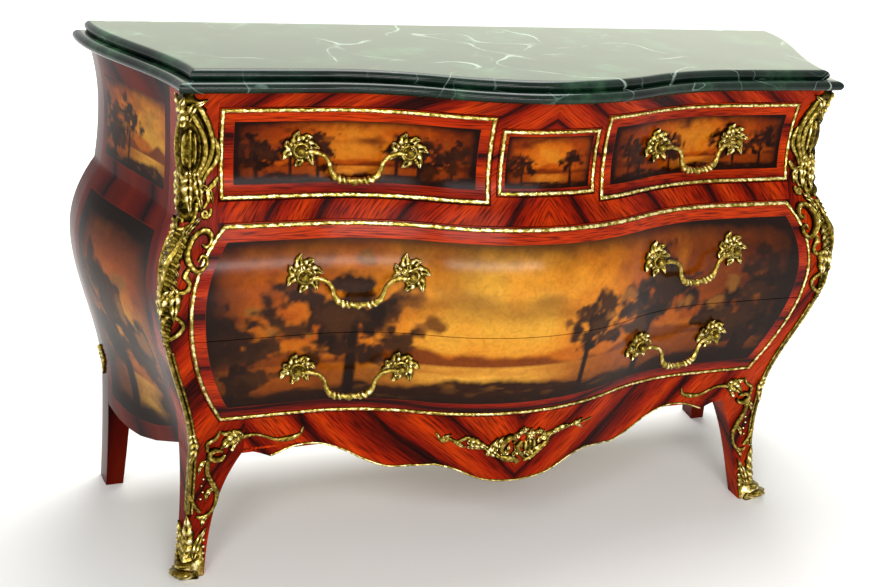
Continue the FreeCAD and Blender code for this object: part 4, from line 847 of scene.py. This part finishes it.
def rosette(foot_x, foot_z):
    """Seven stout curled leaves of uneven length round the bail's pin, six small ones inside them."""
    middle = np.array([foot_x, foot_z])
    rows = [(turn, 5, 18, reach, sway, -0.75 * sway, broad, 2.5, curl, 26) for turn, reach, broad, curl, sway in [
        (8, 31, 22, 5, 4), (58, 29, 21, 6, 4), (104, 34, 23, 6, 4), (152, 30, 22, 6, 4), (203, 33, 23, 5, -4),
        (256, 29, 21, 6, 4), (312, 33, 22, 6, 4)]]
    rows += [(turn, 3, 11, 19, 3, -1, 12, 1, 4, 14) for turn in range(30, 390, 60)]
    shapes = []
    for turn, root, bend, tip, sway, back, broad, lobes, curl, count in rows:
        way = np.array([np.cos(np.radians(turn)), np.sin(np.radians(turn))])
        side = np.array([-way[1], way[0]])
        path = [middle + root * way, middle + bend * way + sway * side, middle + tip * way + back * side]
        shapes.append(leaf(path, broad, 8, on_front, lobes, curl, count))
    return shapes


UP = np.array([0, 0, 1])
NEAR, FAR = 228.0, 400.0
PIN_OUT, BAIL_DROP, HALF_SPAN = 20, 46, (FAR - NEAR) / 2
# Half of a bail from its pin to its middle: share of the half span, share of the drop, radius.
BAIL = [(0.05, 0, 2.2), (0.1, 0, 2.4), (0.13, -0.01, 3.8), (0.2, -0.03, 4.2), (0.3, 0.02, 4.0), (0.41, 0.11, 3.8),
        (0.5, 0.33, 3.8), (0.54, 0.6, 4.4), (0.62, 0.83, 6.0), (0.76, 0.96, 6.2), (0.9, 0.97, 4.8), (1, 1, 4.6)]
# A boss from the veneer out: distance and radius.
BOSS = np.array([(-3, 9), (6, 9), (9, 7), (12, 6), (15, 6.4), (18, 7.4), (21, 7.2), (23.5, 5.6), (25, 3), (25.6, 0.2)])
half = (curve(BAIL, 130) - (1, 0, 0)) * (HALF_SPAN, -BAIL_DROP, 1)
bail_x, bail_z, bail_radius = np.concatenate([half, half[-2::-1] * (-1, 1, 1)]).T[:, :, None]
leafy = np.exp(-((np.abs(bail_x) / HALF_SPAN - 0.24) / 0.13) ** 2)
cuts = 0.16 * leafy * np.cos(bail_x / 4.2 * np.pi - 1.6 * np.cos(np.linspace(0, 2 * np.pi, 17)[:-1]))
knop = 1 + 0.55 * np.exp(-(bail_x / 4.0) ** 2)
coil_turn = np.radians(np.linspace(-60, 400, 60))[:, None]
coil_reach, coil_radius = np.linspace((13, 1.6), (8, 2.8), 60).T[:, :, None]
for stem, ways, height in [("right_drawer", {"": 1}, 752), ("left_drawer", {"": -1}, 752),
                           ("upper_drawer", {"_right": 1, "_left": -1}, 561.25),
                           ("lower_drawer", {"_right": 1, "_left": -1}, 389)]:
    seats = []
    for word, way in ways.items():
        ends = np.sort([way * NEAR, way * FAR])
        feet = np.stack([ends, front_y(ends, 0 * ends + height), 0 * ends + height], -1)
        run = (feet[1] - feet[0]) / np.linalg.norm(feet[1] - feet[0])
        outward = np.array([run[1], -run[0], 0])
        for foot, inward in zip(feet, (1, -1)):
            seats += rosette(foot[0], height)
            seats.append(tube(foot + outward * BOSS[:, :1], BOSS[:, 1:], UP, 0.6))
            coil = np.cos(coil_turn) * run * inward + np.sin(coil_turn) * UP
            seats.append(tube(foot + outward * 13 + coil_reach * coil, coil_radius, outward, 0.7))
        swag = feet.mean(0) + outward * PIN_OUT + run * bail_x + UP * bail_z
        bail = tube(swag, bail_radius * (1 + cuts) * knop, outward, np.clip(0.75 + 1.6 * cuts, 0, 1))
        piece(stem + word + "_bail", stem + word + "_handle", gilt_brass, [bail],
              [stem + word + "_bail"], sharp=60)
    piece(stem + "_rosettes", stem, gilt_brass, seats, [stem + "_rosettes"], sharp=60)


# Corner chutes: gilt mounts pinned over the front corners. Ribbed C-scrolls round an oval boss, with leaves above and
# below, sit on the neck; a double scroll, a ribbed band, a bud and an open loop run down over the belly.
def on_corner(spots):
    """Points round the right front corner from a run across it, negative over the front and positive over the
    side, a height, and a lift along a normal that swings round close to the corner."""
    run, z, lift = np.moveaxis(spots, -1, 0)
    step, reach = 5, 6

    def skin(z):
        x, y = arris(z)
        behind = np.maximum(run, 0)
        side = np.where(z < BASE, x + SIDE_SLOPE * behind, side_x(y + behind, z))
        return np.where(run < 0, x + run, side), y + behind

    x, y = skin(z)
    (high_x, high_y), (low_x, low_y) = skin(z + step), skin(z - step)
    swing = np.pi / 2 * np.clip((run + reach) / (2 * reach), 0, 1)
    normal_x, normal_y = np.sin(swing), -np.cos(swing)
    normal_z = -(normal_x * (high_x - low_x) + normal_y * (high_y - low_y)) / (2 * step)
    scale = lift / np.sqrt(1 + normal_z ** 2)
    return np.stack([x + scale * normal_x, y + scale * normal_y, np.maximum(z + scale * normal_z, 0)], -1)


def oval_boss(middle, reach, height, lay, flutes):
    """A tall oval cushion with upright flutes: rings that shrink to its middle, the height a flattened dome."""
    turn = np.linspace(0, 2 * np.pi, 49)[:-1]
    size = np.sin(np.radians(np.linspace(90, 0.5, 12)))[:, None]
    u, v = size * np.cos(turn), size * np.sin(turn)
    flute = np.cos(np.pi * flutes * u)
    lift = height * np.sqrt(np.clip(1.02 - size ** 2, 0, 1)) * (0.82 + 0.18 * flute) - 0.5
    rings = np.stack([middle[0] + reach[0] * u, middle[1] + reach[1] * v, lift], -1)
    return laid(rings, np.clip(0.45 + 0.5 * flute * size + 0 * turn, 0, 1), lay)


RIM = 0.4


def sheet(run, z, lift, relief, under):
    """A thin cast skin round the corner, from a grid of lifts down to just below the veneer."""
    points, faces, _ = shell(*(on_corner(np.stack([run, z, level], -1)) for level in (lift, 0 * lift - RIM)))
    return points, faces, np.concatenate([relief.ravel(), np.full(lift.size, under)])


def plate(outline, rows, lift):
    """A chased plate round the corner: rows of height, reach over the front and reach over the side, its edge
    scalloped, its lift a function of run and height that falls to nothing at the edge."""
    z, front, side = curve(outline, rows).T[:, :, None]
    across_share = np.linspace(0, 1, 40)
    scallop = 1 + 0.07 * np.cos(2 * np.pi * z / 13)
    run = -front * scallop + (front + side) * scallop * across_share
    z = z + 0 * run
    end = np.minimum(np.linspace(0, 1, rows), np.linspace(1, 0, rows))[:, None]
    rim = np.clip(8 * np.minimum(across_share, 1 - across_share), 0, 1) * np.clip(20 * end, 0, 1)
    raised = lift(run, z) * np.sqrt(rim) + RIM
    return sheet(run, z, raised, np.clip(raised / 13, 0, 0.6), 0.05)


def mount(lay, bars, leaves):
    """Shapes of a mount from tables: each bar's rows, and each leaf's root, middle, tip, width, height, lobes and
    curl."""
    return ([bar(rows, lay) for rows in bars]
            + [leaf(path, width, height, lay, lobes, curl) for *path, width, height, lobes, curl in leaves])


def both_sides(shapes):
    """The shapes and their mirror images."""
    return shapes + [mirrored(shape) for shape in shapes]


def neck_lift(run, z):
    """Rings 9 mm apart round the oval boss."""
    return 3.2 + 2.2 * np.cos(np.hypot((run + 9) * 1.15, (z - 755) * 0.45) * 2 * np.pi / 9)


def belly_lift(run, z):
    """Slanting ribs 8 mm apart, fuller on the upper belly."""
    return 3.6 + 1.6 * np.cos(2 * np.pi * (z / 8 + np.abs(run) / 12)) + 3 * np.exp(-((z - 600) / 40) ** 2)


chute = [
    plate([(646, 20, 12), (662, 30, 16), (684, 34, 19), (712, 34, 21), (740, 44, 23), (769, 46, 25), (800, 38, 25),
           (826, 30, 22), (845, 14, 12)], 110, neck_lift),
    oval_boss((-9, 755), (13, 33), 10, on_corner, 3),
    *[knob((-9, z), 2.68, 13, on_corner) for z in (722, 788)],
    plate([(442, 5, 5), (470, 8, 9), (500, 15, 13), (530, 17, 16), (560, 16, 20), (590, 18, 22), (615, 24, 22),
           (640, 18, 16)], 110, belly_lift),
    bar([(-44, 614, 4.8, 6), (-51, 610, 6.4, 8), (-56, 618, 8, 10), (-51, 629, 9.6, 12), (-40, 633, 11.2, 14),
         (-29, 626, 12.8, 15), (-24, 612, 12.8, 16), (-25, 598, 12.8, 15), (-33, 585, 11.2, 13), (-45, 576, 9.6, 11),
         (-56, 582, 8, 10), (-57, 593, 6.4, 8), (-48, 598, 6.4, 7), (-44, 590, 4.8, 6)], on_corner, 110),
    *[leaf([(-6, z), (-13, z - 6), (-18, z - 16)], 9, 10, on_corner, 2, 3, 16) for z in range(556, 636, 13)],
    *[leaf([(4, z), (10, z - 6), (22, z - 15)], 9, 9, on_corner, 2, 3, 16) for z in range(556, 640, 13)],
]
# Neck: the C-scrolls round the boss and the small scrolls under them, then the leaves above and below.
chute += mount(on_corner, [
    [(-14, 834, 6.4, 4), (-23, 824, 9.6, 7), (-36, 796, 11.2, 10), (-43, 766, 11.2, 11), (-38, 738, 11.2, 10),
     (-26, 712, 8, 6)],
    [(-6, 826, 6.4, 5), (-14, 808, 9.6, 8), (-26, 786, 11.2, 11), (-32, 763, 11.2, 12), (-30, 738, 11.2, 11),
     (-20, 714, 8, 7)],
    [(2, 812, 6.4, 5), (8, 796, 9.6, 9), (14, 770, 11.2, 11), (14, 744, 11.2, 11), (8, 722, 9.6, 9), (-2, 708, 6.4, 6)],
    [(-38, 784, 4.8, 3), (-47, 769, 9.6, 7), (-52, 751, 11.2, 8), (-47, 733, 9.6, 8), (-36, 717, 8, 6),
     (-30, 702, 4.8, 4)],
    [(-53, 710, 6.4, 4), (-47, 700, 11.2, 7), (-39, 690, 9.6, 7), (-40, 676, 8, 6), (-34, 664, 4.8, 4)],
    scroll((-22, 674), -95, 84, [0, 200, 420, 1100], 9, 8),
    scroll((-44, 664), -120, 44, [200, 480, 900], 8, 7),
], [
    ((-6, 800), (-14, 824), (-36, 838), 17, 8, 3, 6),
    ((0, 790), (3, 816), (-3, 844), 18, 9, 4, 6),
    ((10, 796), (18, 820), (24, 840), 15, 7, 3, 5),
    ((-18, 720), (-24, 692), (-31, 660), 21, 10, 4, 4),
    ((-7, 722), (-8, 690), (-14, 652), 20, 12, 5, 4),
    ((6, 720), (11, 690), (8, 662), 18, 10, 4, 4),
    ((15, 728), (24, 704), (22, 680), 16, 7, 3, 4),
    ((-26, 700), (-42, 688), (-48, 670), 12, 7, 3, 4),
])
# Belly: the band's two ribs, the bud's scroll and the open loop, then the leaves of band and bud.
chute += mount(on_corner, [
    [(-10, 640, 5, 8), (-7, 618, 7, 13), (-2, 592, 7, 15), (2, 566, 7, 12), (4, 540, 6, 9), (2, 512, 5, 6)],
    [(6, 638, 4, 7), (12, 616, 6, 11), (17, 590, 6, 11), (17, 562, 5, 9), (12, 536, 4, 6), (6, 512, 4, 5)],
    [(-33, 584, 6.4, 7), (-28, 570, 11.2, 9), (-36, 559, 8, 7), (-35, 548, 9.6, 7), (-25, 544, 8, 6),
     (-16, 550, 6.4, 6)],
    [(-14, 506, 8, 7), (-24, 499, 8, 7), (-29, 488, 8, 7), (-20, 475, 8, 7), (-8, 468, 8, 7), (2, 461, 6.4, 6),
     (5, 452, 4.8, 4)],
    [(-6, 508, 6.4, 6), (0, 496, 8, 7), (1, 482, 8, 7), (-5, 470, 6.4, 6)],
    [(0, 476, 6.4, 5), (0, 458, 9.6, 5), (0, 440.3, 12.8, 4)],
], [
    ((-14, 628), (-22, 642), (-32, 652), 14, 9, 3, 5),
    ((4, 622), (14, 640), (22, 650), 14, 9, 3, 4),
    ((-14, 552), (-16, 528), (-14, 498), 25, 11, 3, 5),
    ((-8, 550), (2, 526), (4, 500), 18, 9, 3, 4),
    ((10, 556), (18, 534), (15, 510), 14, 7, 3, 4),
])
piece("corner_chutes", "case", gilt_brass, both_sides(chute), ["chutes"], sharp=60)


# Corner strips: a slim cast moulding of four gilt beads down each front corner, pinned over the veneer's joint.
# It runs from the foot of the chute to the sabot.
STRIP_TOP, STRIP_FOOT = 439.7, 110.3
strip = [bar([(run, z, width, height) for z in np.linspace(STRIP_TOP, STRIP_FOOT, 24)], on_corner, 140)
         for run, width, height in [(0, 8, 4.4), (-6.6, 4.6, 3), (7.2, 6, 3.4), (13, 5, 2.6)]]
piece("corner_strips", "case", gilt_brass, both_sides(strip), ["corner_strips"])


# Sabots: cast gilt brass shoes, pinned round the front feet. Leaves climb the leg over a rolled toe, with a row
# of beads along each edge.
SHOE_HALF = 34
run, rise = np.meshgrid(np.linspace(-SHOE_HALF, SHOE_HALF, 45), np.linspace(0, 1, 30))
wide = run / SHOE_HALF * np.pi
z = rise * (66 + 24 * np.cos(2.5 * wide) * np.exp(-(run / 40) ** 2) - 0.9 * np.abs(run))
toe = 15 * np.exp(-((z - 9) / 12) ** 2) * np.cos(wide / 2) ** 2
lift = (3 + toe + 0.7 * np.cos(5 * wide) * (z > 26)) * np.clip(2.5 * (1 - rise) + 0.35, 0, 1)
sabot = [sheet(run, z, lift, np.clip(lift / 5, 0.15, 0.9), 0.1)]
sabot += mount(on_corner, [
    [(-22, 6, 5, 6), (-13, 8, 11, 18), (0, 9, 16, 30), (13, 8, 11, 18), (22, 6, 5, 6)],
    [(-26, 34, 5, 6), (-14, 25, 7, 11), (0, 22, 9, 18), (14, 25, 7, 11), (26, 34, 5, 6)],
    scroll((-8, 12), 180, 60, [100, 500, 1000], 7, 15),
    scroll((8, 12), 0, 60, [-100, -500, -1000], 7, 15),
], [
    ((0, 30), (-1, 66), (0, 109), 28, 8, 5, 3),
    ((-14, 28), (-20, 56), (-32, 84), 18, 7, 4, 4),
    ((14, 28), (20, 56), (29, 84), 18, 7, 4, 4),
])
for z in (28, 38, 49, 61):
    sabot += [knob((-31 + 0.05 * (z - 30), z), 3.4, 6, on_corner), knob((30, z), 3.2, 6, on_corner)]
piece("sabots", "case", gilt_brass, both_sides(sabot), ["sabots"], sharp=60)


# Knee mounts: cast gilt brass leaves pinned over the knees of the front legs, with a tendril along the apron and
# an S-scroll that winds down the leg to the sabot.
knee = [
    bar([(376, 262, 2.8, 2.75), (382, 247, 7, 4.4), (400, 241, 11.2, 5.5), (421, 241, 7, 4.4), (440, 249, 5.6, 3.85),
         (459, 256, 5.6, 4.4), (478, 255, 8.4, 5.5), (492, 255, 12.6, 7.7)], on_front, 80),
    bar([(-28, 219, 7, 6.6), (-27, 205, 9.8, 7.7), (-28, 186, 9.8, 6.6), (-38, 164, 11.2, 6.6), (-46, 145, 9.8, 6.6),
         (-44, 122, 7, 5.5), (-35, 107, 7, 5.5), (-22, 102, 8.4, 5.5), (-14, 105, 5.6, 4.4)], on_corner, 90),
    knob((499, 233), 4.5, 9, on_front),
    *[knob((-22 + 3 * (i % 2), 176 - 13 * i), 2.6, 4, on_corner) for i in range(4)],
]
knee += mount(on_front, [
    [(511, 223, 5.6, 6.6), (517, 216, 8.4, 8.8), (529, 216, 11.2, 11), (537, 224, 11.2, 11), (530, 233, 9.8, 9.9),
     (515, 231, 5.6, 6.6)],
    [(519, 270, 4.2, 3.3), (527, 257, 7, 6.6), (540, 247, 8.4, 6.6), (540, 232, 7, 6.6)],
], [
    ((482, 264), (499, 253), (519, 236), 31, 11, 4, 3),
    ((484, 256), (494, 244), (498, 230), 13, 7, 3, 4),
    ((496, 262), (508, 264), (522, 268), 11, 6, 2, 4),
])
knee += mount(on_corner, [
    [(-1, 146, 5.6, 5.5), (-9, 127, 7, 6.6), (-19, 112, 7, 5.5)],
], [
    ((-3, 268), (-5, 240), (1, 206), 17, 7, 5, 3),
    ((-26, 214), (-16, 204), (-12, 188), 11, 6, 3, 3),
    ((-40, 158), (-30, 146), (-27, 132), 11, 6, 3, 3),
    ((-36, 108), (-27, 98), (-24, 84), 12, 6, 3, 3),
])
piece("knee_mounts", "case", gilt_brass, both_sides(knee), ["knee_mounts"], sharp=60)


# Apron mount: a lopsided spray of cast gilt brass, pinned to the middle of the apron. A wavy tendril runs into
# leaves, an open C-scroll holds a cluster of flowers, and a thin spray trails off the other way.
spray = [
    bar([(-151, 253, 4.35, 3.3), (-138, 237, 7.25, 4.95), (-127, 242, 7.25, 4.95), (-115, 235, 8.7, 5.5),
         (-106, 240, 7.25, 5.5), (-95, 245, 7.25, 5.5), (-84, 234, 10.2, 6.6)], on_front, 80),
    oval_boss((23, 220), (17, 12), 5, on_front, 4),
]
spray += mount(on_front, [
    [(-40, 206, 7.25, 6.6), (-24, 201, 14.5, 11), (-10, 198, 13, 9.9), (1, 193, 7.25, 6.6), (-3, 187, 5.8, 4.4)],
    [(-24, 207, 5.8, 6.6), (-33, 218, 10.2, 9.9), (-31, 232, 11.6, 11), (-19, 243, 11.6, 11), (-9, 238, 8.7, 8.8),
     (-11, 229, 5.8, 6.6)],
    [(5, 233, 5.8, 6.6), (-3, 222, 10.2, 9.9), (1, 211, 10.2, 8.8), (13, 198, 7.25, 6.6), (20, 193, 4.35, 4.4)],
    [(12, 192, 5.8, 5.5), (24, 198, 8.7, 8.8), (39, 210, 10.2, 8.8), (51, 221, 10.2, 8.8), (58, 230, 7.25, 6.6),
     (61, 240, 4.35, 4.4)],
    [(57, 236, 7.25, 5.5), (81, 243, 7.25, 5.5), (106, 247, 5.8, 4.4), (127, 246, 4.35, 3.3), (155, 249, 2.9, 2.75)],
], [
    ((-97, 238), (-80, 233), (-58, 225), 22, 9, 4, 3),
    ((-96, 226), (-84, 226), (-66, 222), 12, 7, 3, 3),
    ((-60, 208), (-51, 224), (-41, 245), 14, 9, 3, 5),
    ((-64, 226), (-48, 213), (-30, 202), 19, 9, 4, 3),
    ((66, 238), (80, 246), (96, 252), 12, 6, 3, 3),
    ((104, 246), (118, 250), (132, 256), 9, 5, 2, 3),
    ((-140, 240), (-133, 246), (-124, 252), 9, 5, 2, 3),
    ((-116, 236), (-108, 230), (-98, 226), 10, 6, 2, 3),
    ((-34, 206), (-22, 214), (-20, 230), 15, 8, 3, 4),
    ((-44, 216), (-40, 230), (-32, 246), 14, 8, 3, 4),
    ((-12, 204), (-4, 212), (-10, 226), 13, 7, 3, 3),
    ((-14, 240), (-4, 246), (2, 258), 14, 8, 3, 4),
    ((10, 208), (26, 206), (44, 222), 14, 7, 4, 3),
    ((36, 226), (46, 236), (48, 250), 13, 7, 3, 4),
    ((48, 228), (62, 240), (82, 240), 12, 6, 3, 3),
    ((116, 246), (126, 241), (134, 234), 8, 5, 2, 3),
])
# Flowers: five petals round a seed each.
for middle, reach in [((22, 243), 15), ((6, 254), 10), ((38, 247), 9)]:
    for turn in np.radians(np.arange(0, 360, 72) + 20):
        way = np.array([np.cos(turn), np.sin(turn)])
        petal = [middle + 1.5 * way, middle + 0.5 * reach * way, middle + reach * way]
        spray.append(leaf(petal, 0.8 * reach, 6, on_front, 1, 4, 14))
    spray.append(knob(middle, 0.3 * reach, 9, on_front))
piece("apron_mount", "case", gilt_brass, spray, ["apron_mount"], sharp=60)


# Apron bead: a thin drawn half-round of gilt brass, bent to the apron's lobed edge and pinned 2 mm above it.
# It stops short of the knees.
BEAD_WIDTH, BEAD_HEIGHT, BEAD_BEAT, BEAD_ABOVE = 4, 2.5, 9, 2
edge = full_line[np.abs(full_line[:, 0]) < 0.9]
edge = np.stack([edge[:, 0] * APRON_END, APRON_LINE - edge[:, 1] * APRON_DROP + BEAD_ABOVE], -1)
edge = edge[np.append(True, np.diff(distance(edge)) > 0.05)]
rings, heights = moulding(edge, BEAD_WIDTH, BEAD_HEIGHT, False, BEAD_BEAT)
piece("apron_bead", "case", gilt_brass, [laid(rings, heights, on_front)], ["apron_bead"])


# Rear knee mounts: a small cast gilt leaf with two sprigs and a boss, pinned to the outside of each back leg
# where the case ends.
def on_side(spots):
    """Points of the right side from y, z and a lift straight out."""
    y, z, lift = np.moveaxis(spots, -1, 0)
    return np.stack([side_x(y, z) + lift, y, z], -1)


rear_knee = [knob((217, 284), 5, 7, on_side)] + mount(on_side, [], [
    ((218, 287), (214, 262), (218, 228), 22, 6, 5, 2),
    ((206, 282), (202, 270), (200, 254), 10, 5, 3, 2),
    ((229, 282), (233, 268), (234, 252), 10, 5, 3, 2),
])
piece("rear_knee_mounts", "case", gilt_brass, both_sides(rear_knee), ["rear_knee_mounts"], sharp=60)


# Stage: a pale matt floor that runs out to white, a white background, and broad soft lamps with one low strip
# that draws the highlight on the belly. Sizes are in metres.
def seen(owner):
    """1 for a ray that the camera sees, straight or by way of a mirror or glass, and 0 for light's own rays."""
    rays = add(owner, "LightPath").node.outputs
    direct = add(owner, "Math", {0: rays["Is Camera Ray"], 1: rays["Is Glossy Ray"]}, operation="MAXIMUM")
    return add(owner, "Math", {0: direct, 1: rays["Is Transmission Ray"]}, operation="MAXIMUM")


FLOOR = 30
floor_mesh = bpy.data.meshes.new("floor")
floor_mesh.from_pydata([(-FLOOR, -FLOOR, 0), (FLOOR, -FLOOR, 0), (FLOOR, FLOOR, 0), (-FLOOR, FLOOR, 0)], [],
                       [(0, 1, 2, 3)])
floor = stand("floor", floor_mesh)
floor_paint = finish("matt_pale_floor", Base_Color=linear("#F4F4F2"), Roughness=0.9, Emission_Color=(1, 1, 1, 1))
# White paper sweep: matt, and lifted to white where the camera or a reflection sees it, so that only shadow is grey.
place = add(floor_paint, "TexCoord", output="Object")
away = add(floor_paint, "VectorMath", {0: place}, operation="LENGTH")
level = add(floor_paint, "MapRange", {"Value": away, "From Min": 1.0, "From Max": 3.0, "To Min": 0.02, "To Max": 0.9})
glow = add(floor_paint, "Math", {0: seen(floor_paint), 1: level}, operation="MULTIPLY")
link(floor_paint, glow, "Emission Strength")
floor_mesh.materials.append(floor_paint)

world = bpy.data.worlds.new("studio")
bpy.context.scene.world = world
world.use_nodes = True
background = world.node_tree.nodes["Background"]
level = add(world, "MapRange", {"Value": seen(world), "To Min": 0.32, "To Max": 1.0})
world.node_tree.links.new(level, background.inputs["Strength"])
background.inputs["Color"].default_value = (1, 1, 1, 1)


def facing(right, upward, backward, spot):
    """The place of a lamp or camera at a spot, from its own three directions."""
    return Matrix.Translation(spot) @ Matrix(np.stack([right, upward, backward], 1).tolist()).to_4x4()


for name, spot, aim, wide, tall, power, tint in [
        ("key", (-2.6, -3.2, 3.4), (0, -0.2, 0.4), 1.5, 1.5, 62, "#FFFFFF"),
        ("fill", (-0.5, -3.3, 2.6), (-0.3, -0.1, 0.6), 1.8, 0.9, 32, "#FFFFFF"),
        ("top", (0.3, 0.9, 3.2), (0, -0.2, 0.3), 2.0, 2.0, 120, "#FFFFFF"),
        ("back", (1.6, 3.8, 2.2), (0.2, 0, 0.9), 4.4, 3.2, 37, "#F3FFCB"),
        ("strip", (-0.05, -3.15, 1.03), (-0.1, -0.2, 0.58), 2.4, 0.22, 42, "#FFFFFF")]:
    lamp = bpy.data.lights.new(name, "AREA")
    lamp.shape, lamp.size, lamp.size_y, lamp.energy = "RECTANGLE", wide, tall, power
    lamp.color = linear(tint)[:3]
    away = np.array(spot) - np.array(aim)
    backward = away / np.linalg.norm(away)
    right = np.cross(UP, backward)
    right /= np.linalg.norm(right)
    stand(name, lamp).matrix_world = facing(right, np.cross(backward, right), backward, spot)

# Camera: worked out from the photograph. Its focal length and width are in pixels.
FOCAL, PHOTO_WIDTH, SENSOR = 1264.7, 880, 36
CAMERA_SPOT = -0.9261, -1.9610, 1.3128
yaw, pitch, roll = np.radians((22.94, 22.24, 5.28))
forward = np.array([np.sin(yaw) * np.cos(pitch), np.cos(yaw) * np.cos(pitch), -np.sin(pitch)])
level_right = np.array([np.cos(yaw), -np.sin(yaw), 0])
level_up = np.cross(level_right, forward)
right = np.cos(roll) * level_right + np.sin(roll) * level_up
upward = -np.sin(roll) * level_right + np.cos(roll) * level_up
lens = bpy.data.cameras.new("camera")
lens.sensor_width = SENSOR
lens.lens = FOCAL / PHOTO_WIDTH * SENSOR
camera = stand("camera", lens)
camera.matrix_world = facing(right, upward, -forward, CAMERA_SPOT)
bpy.context.scene.camera = camera
bpy.context.scene.view_settings.view_transform = "Standard"
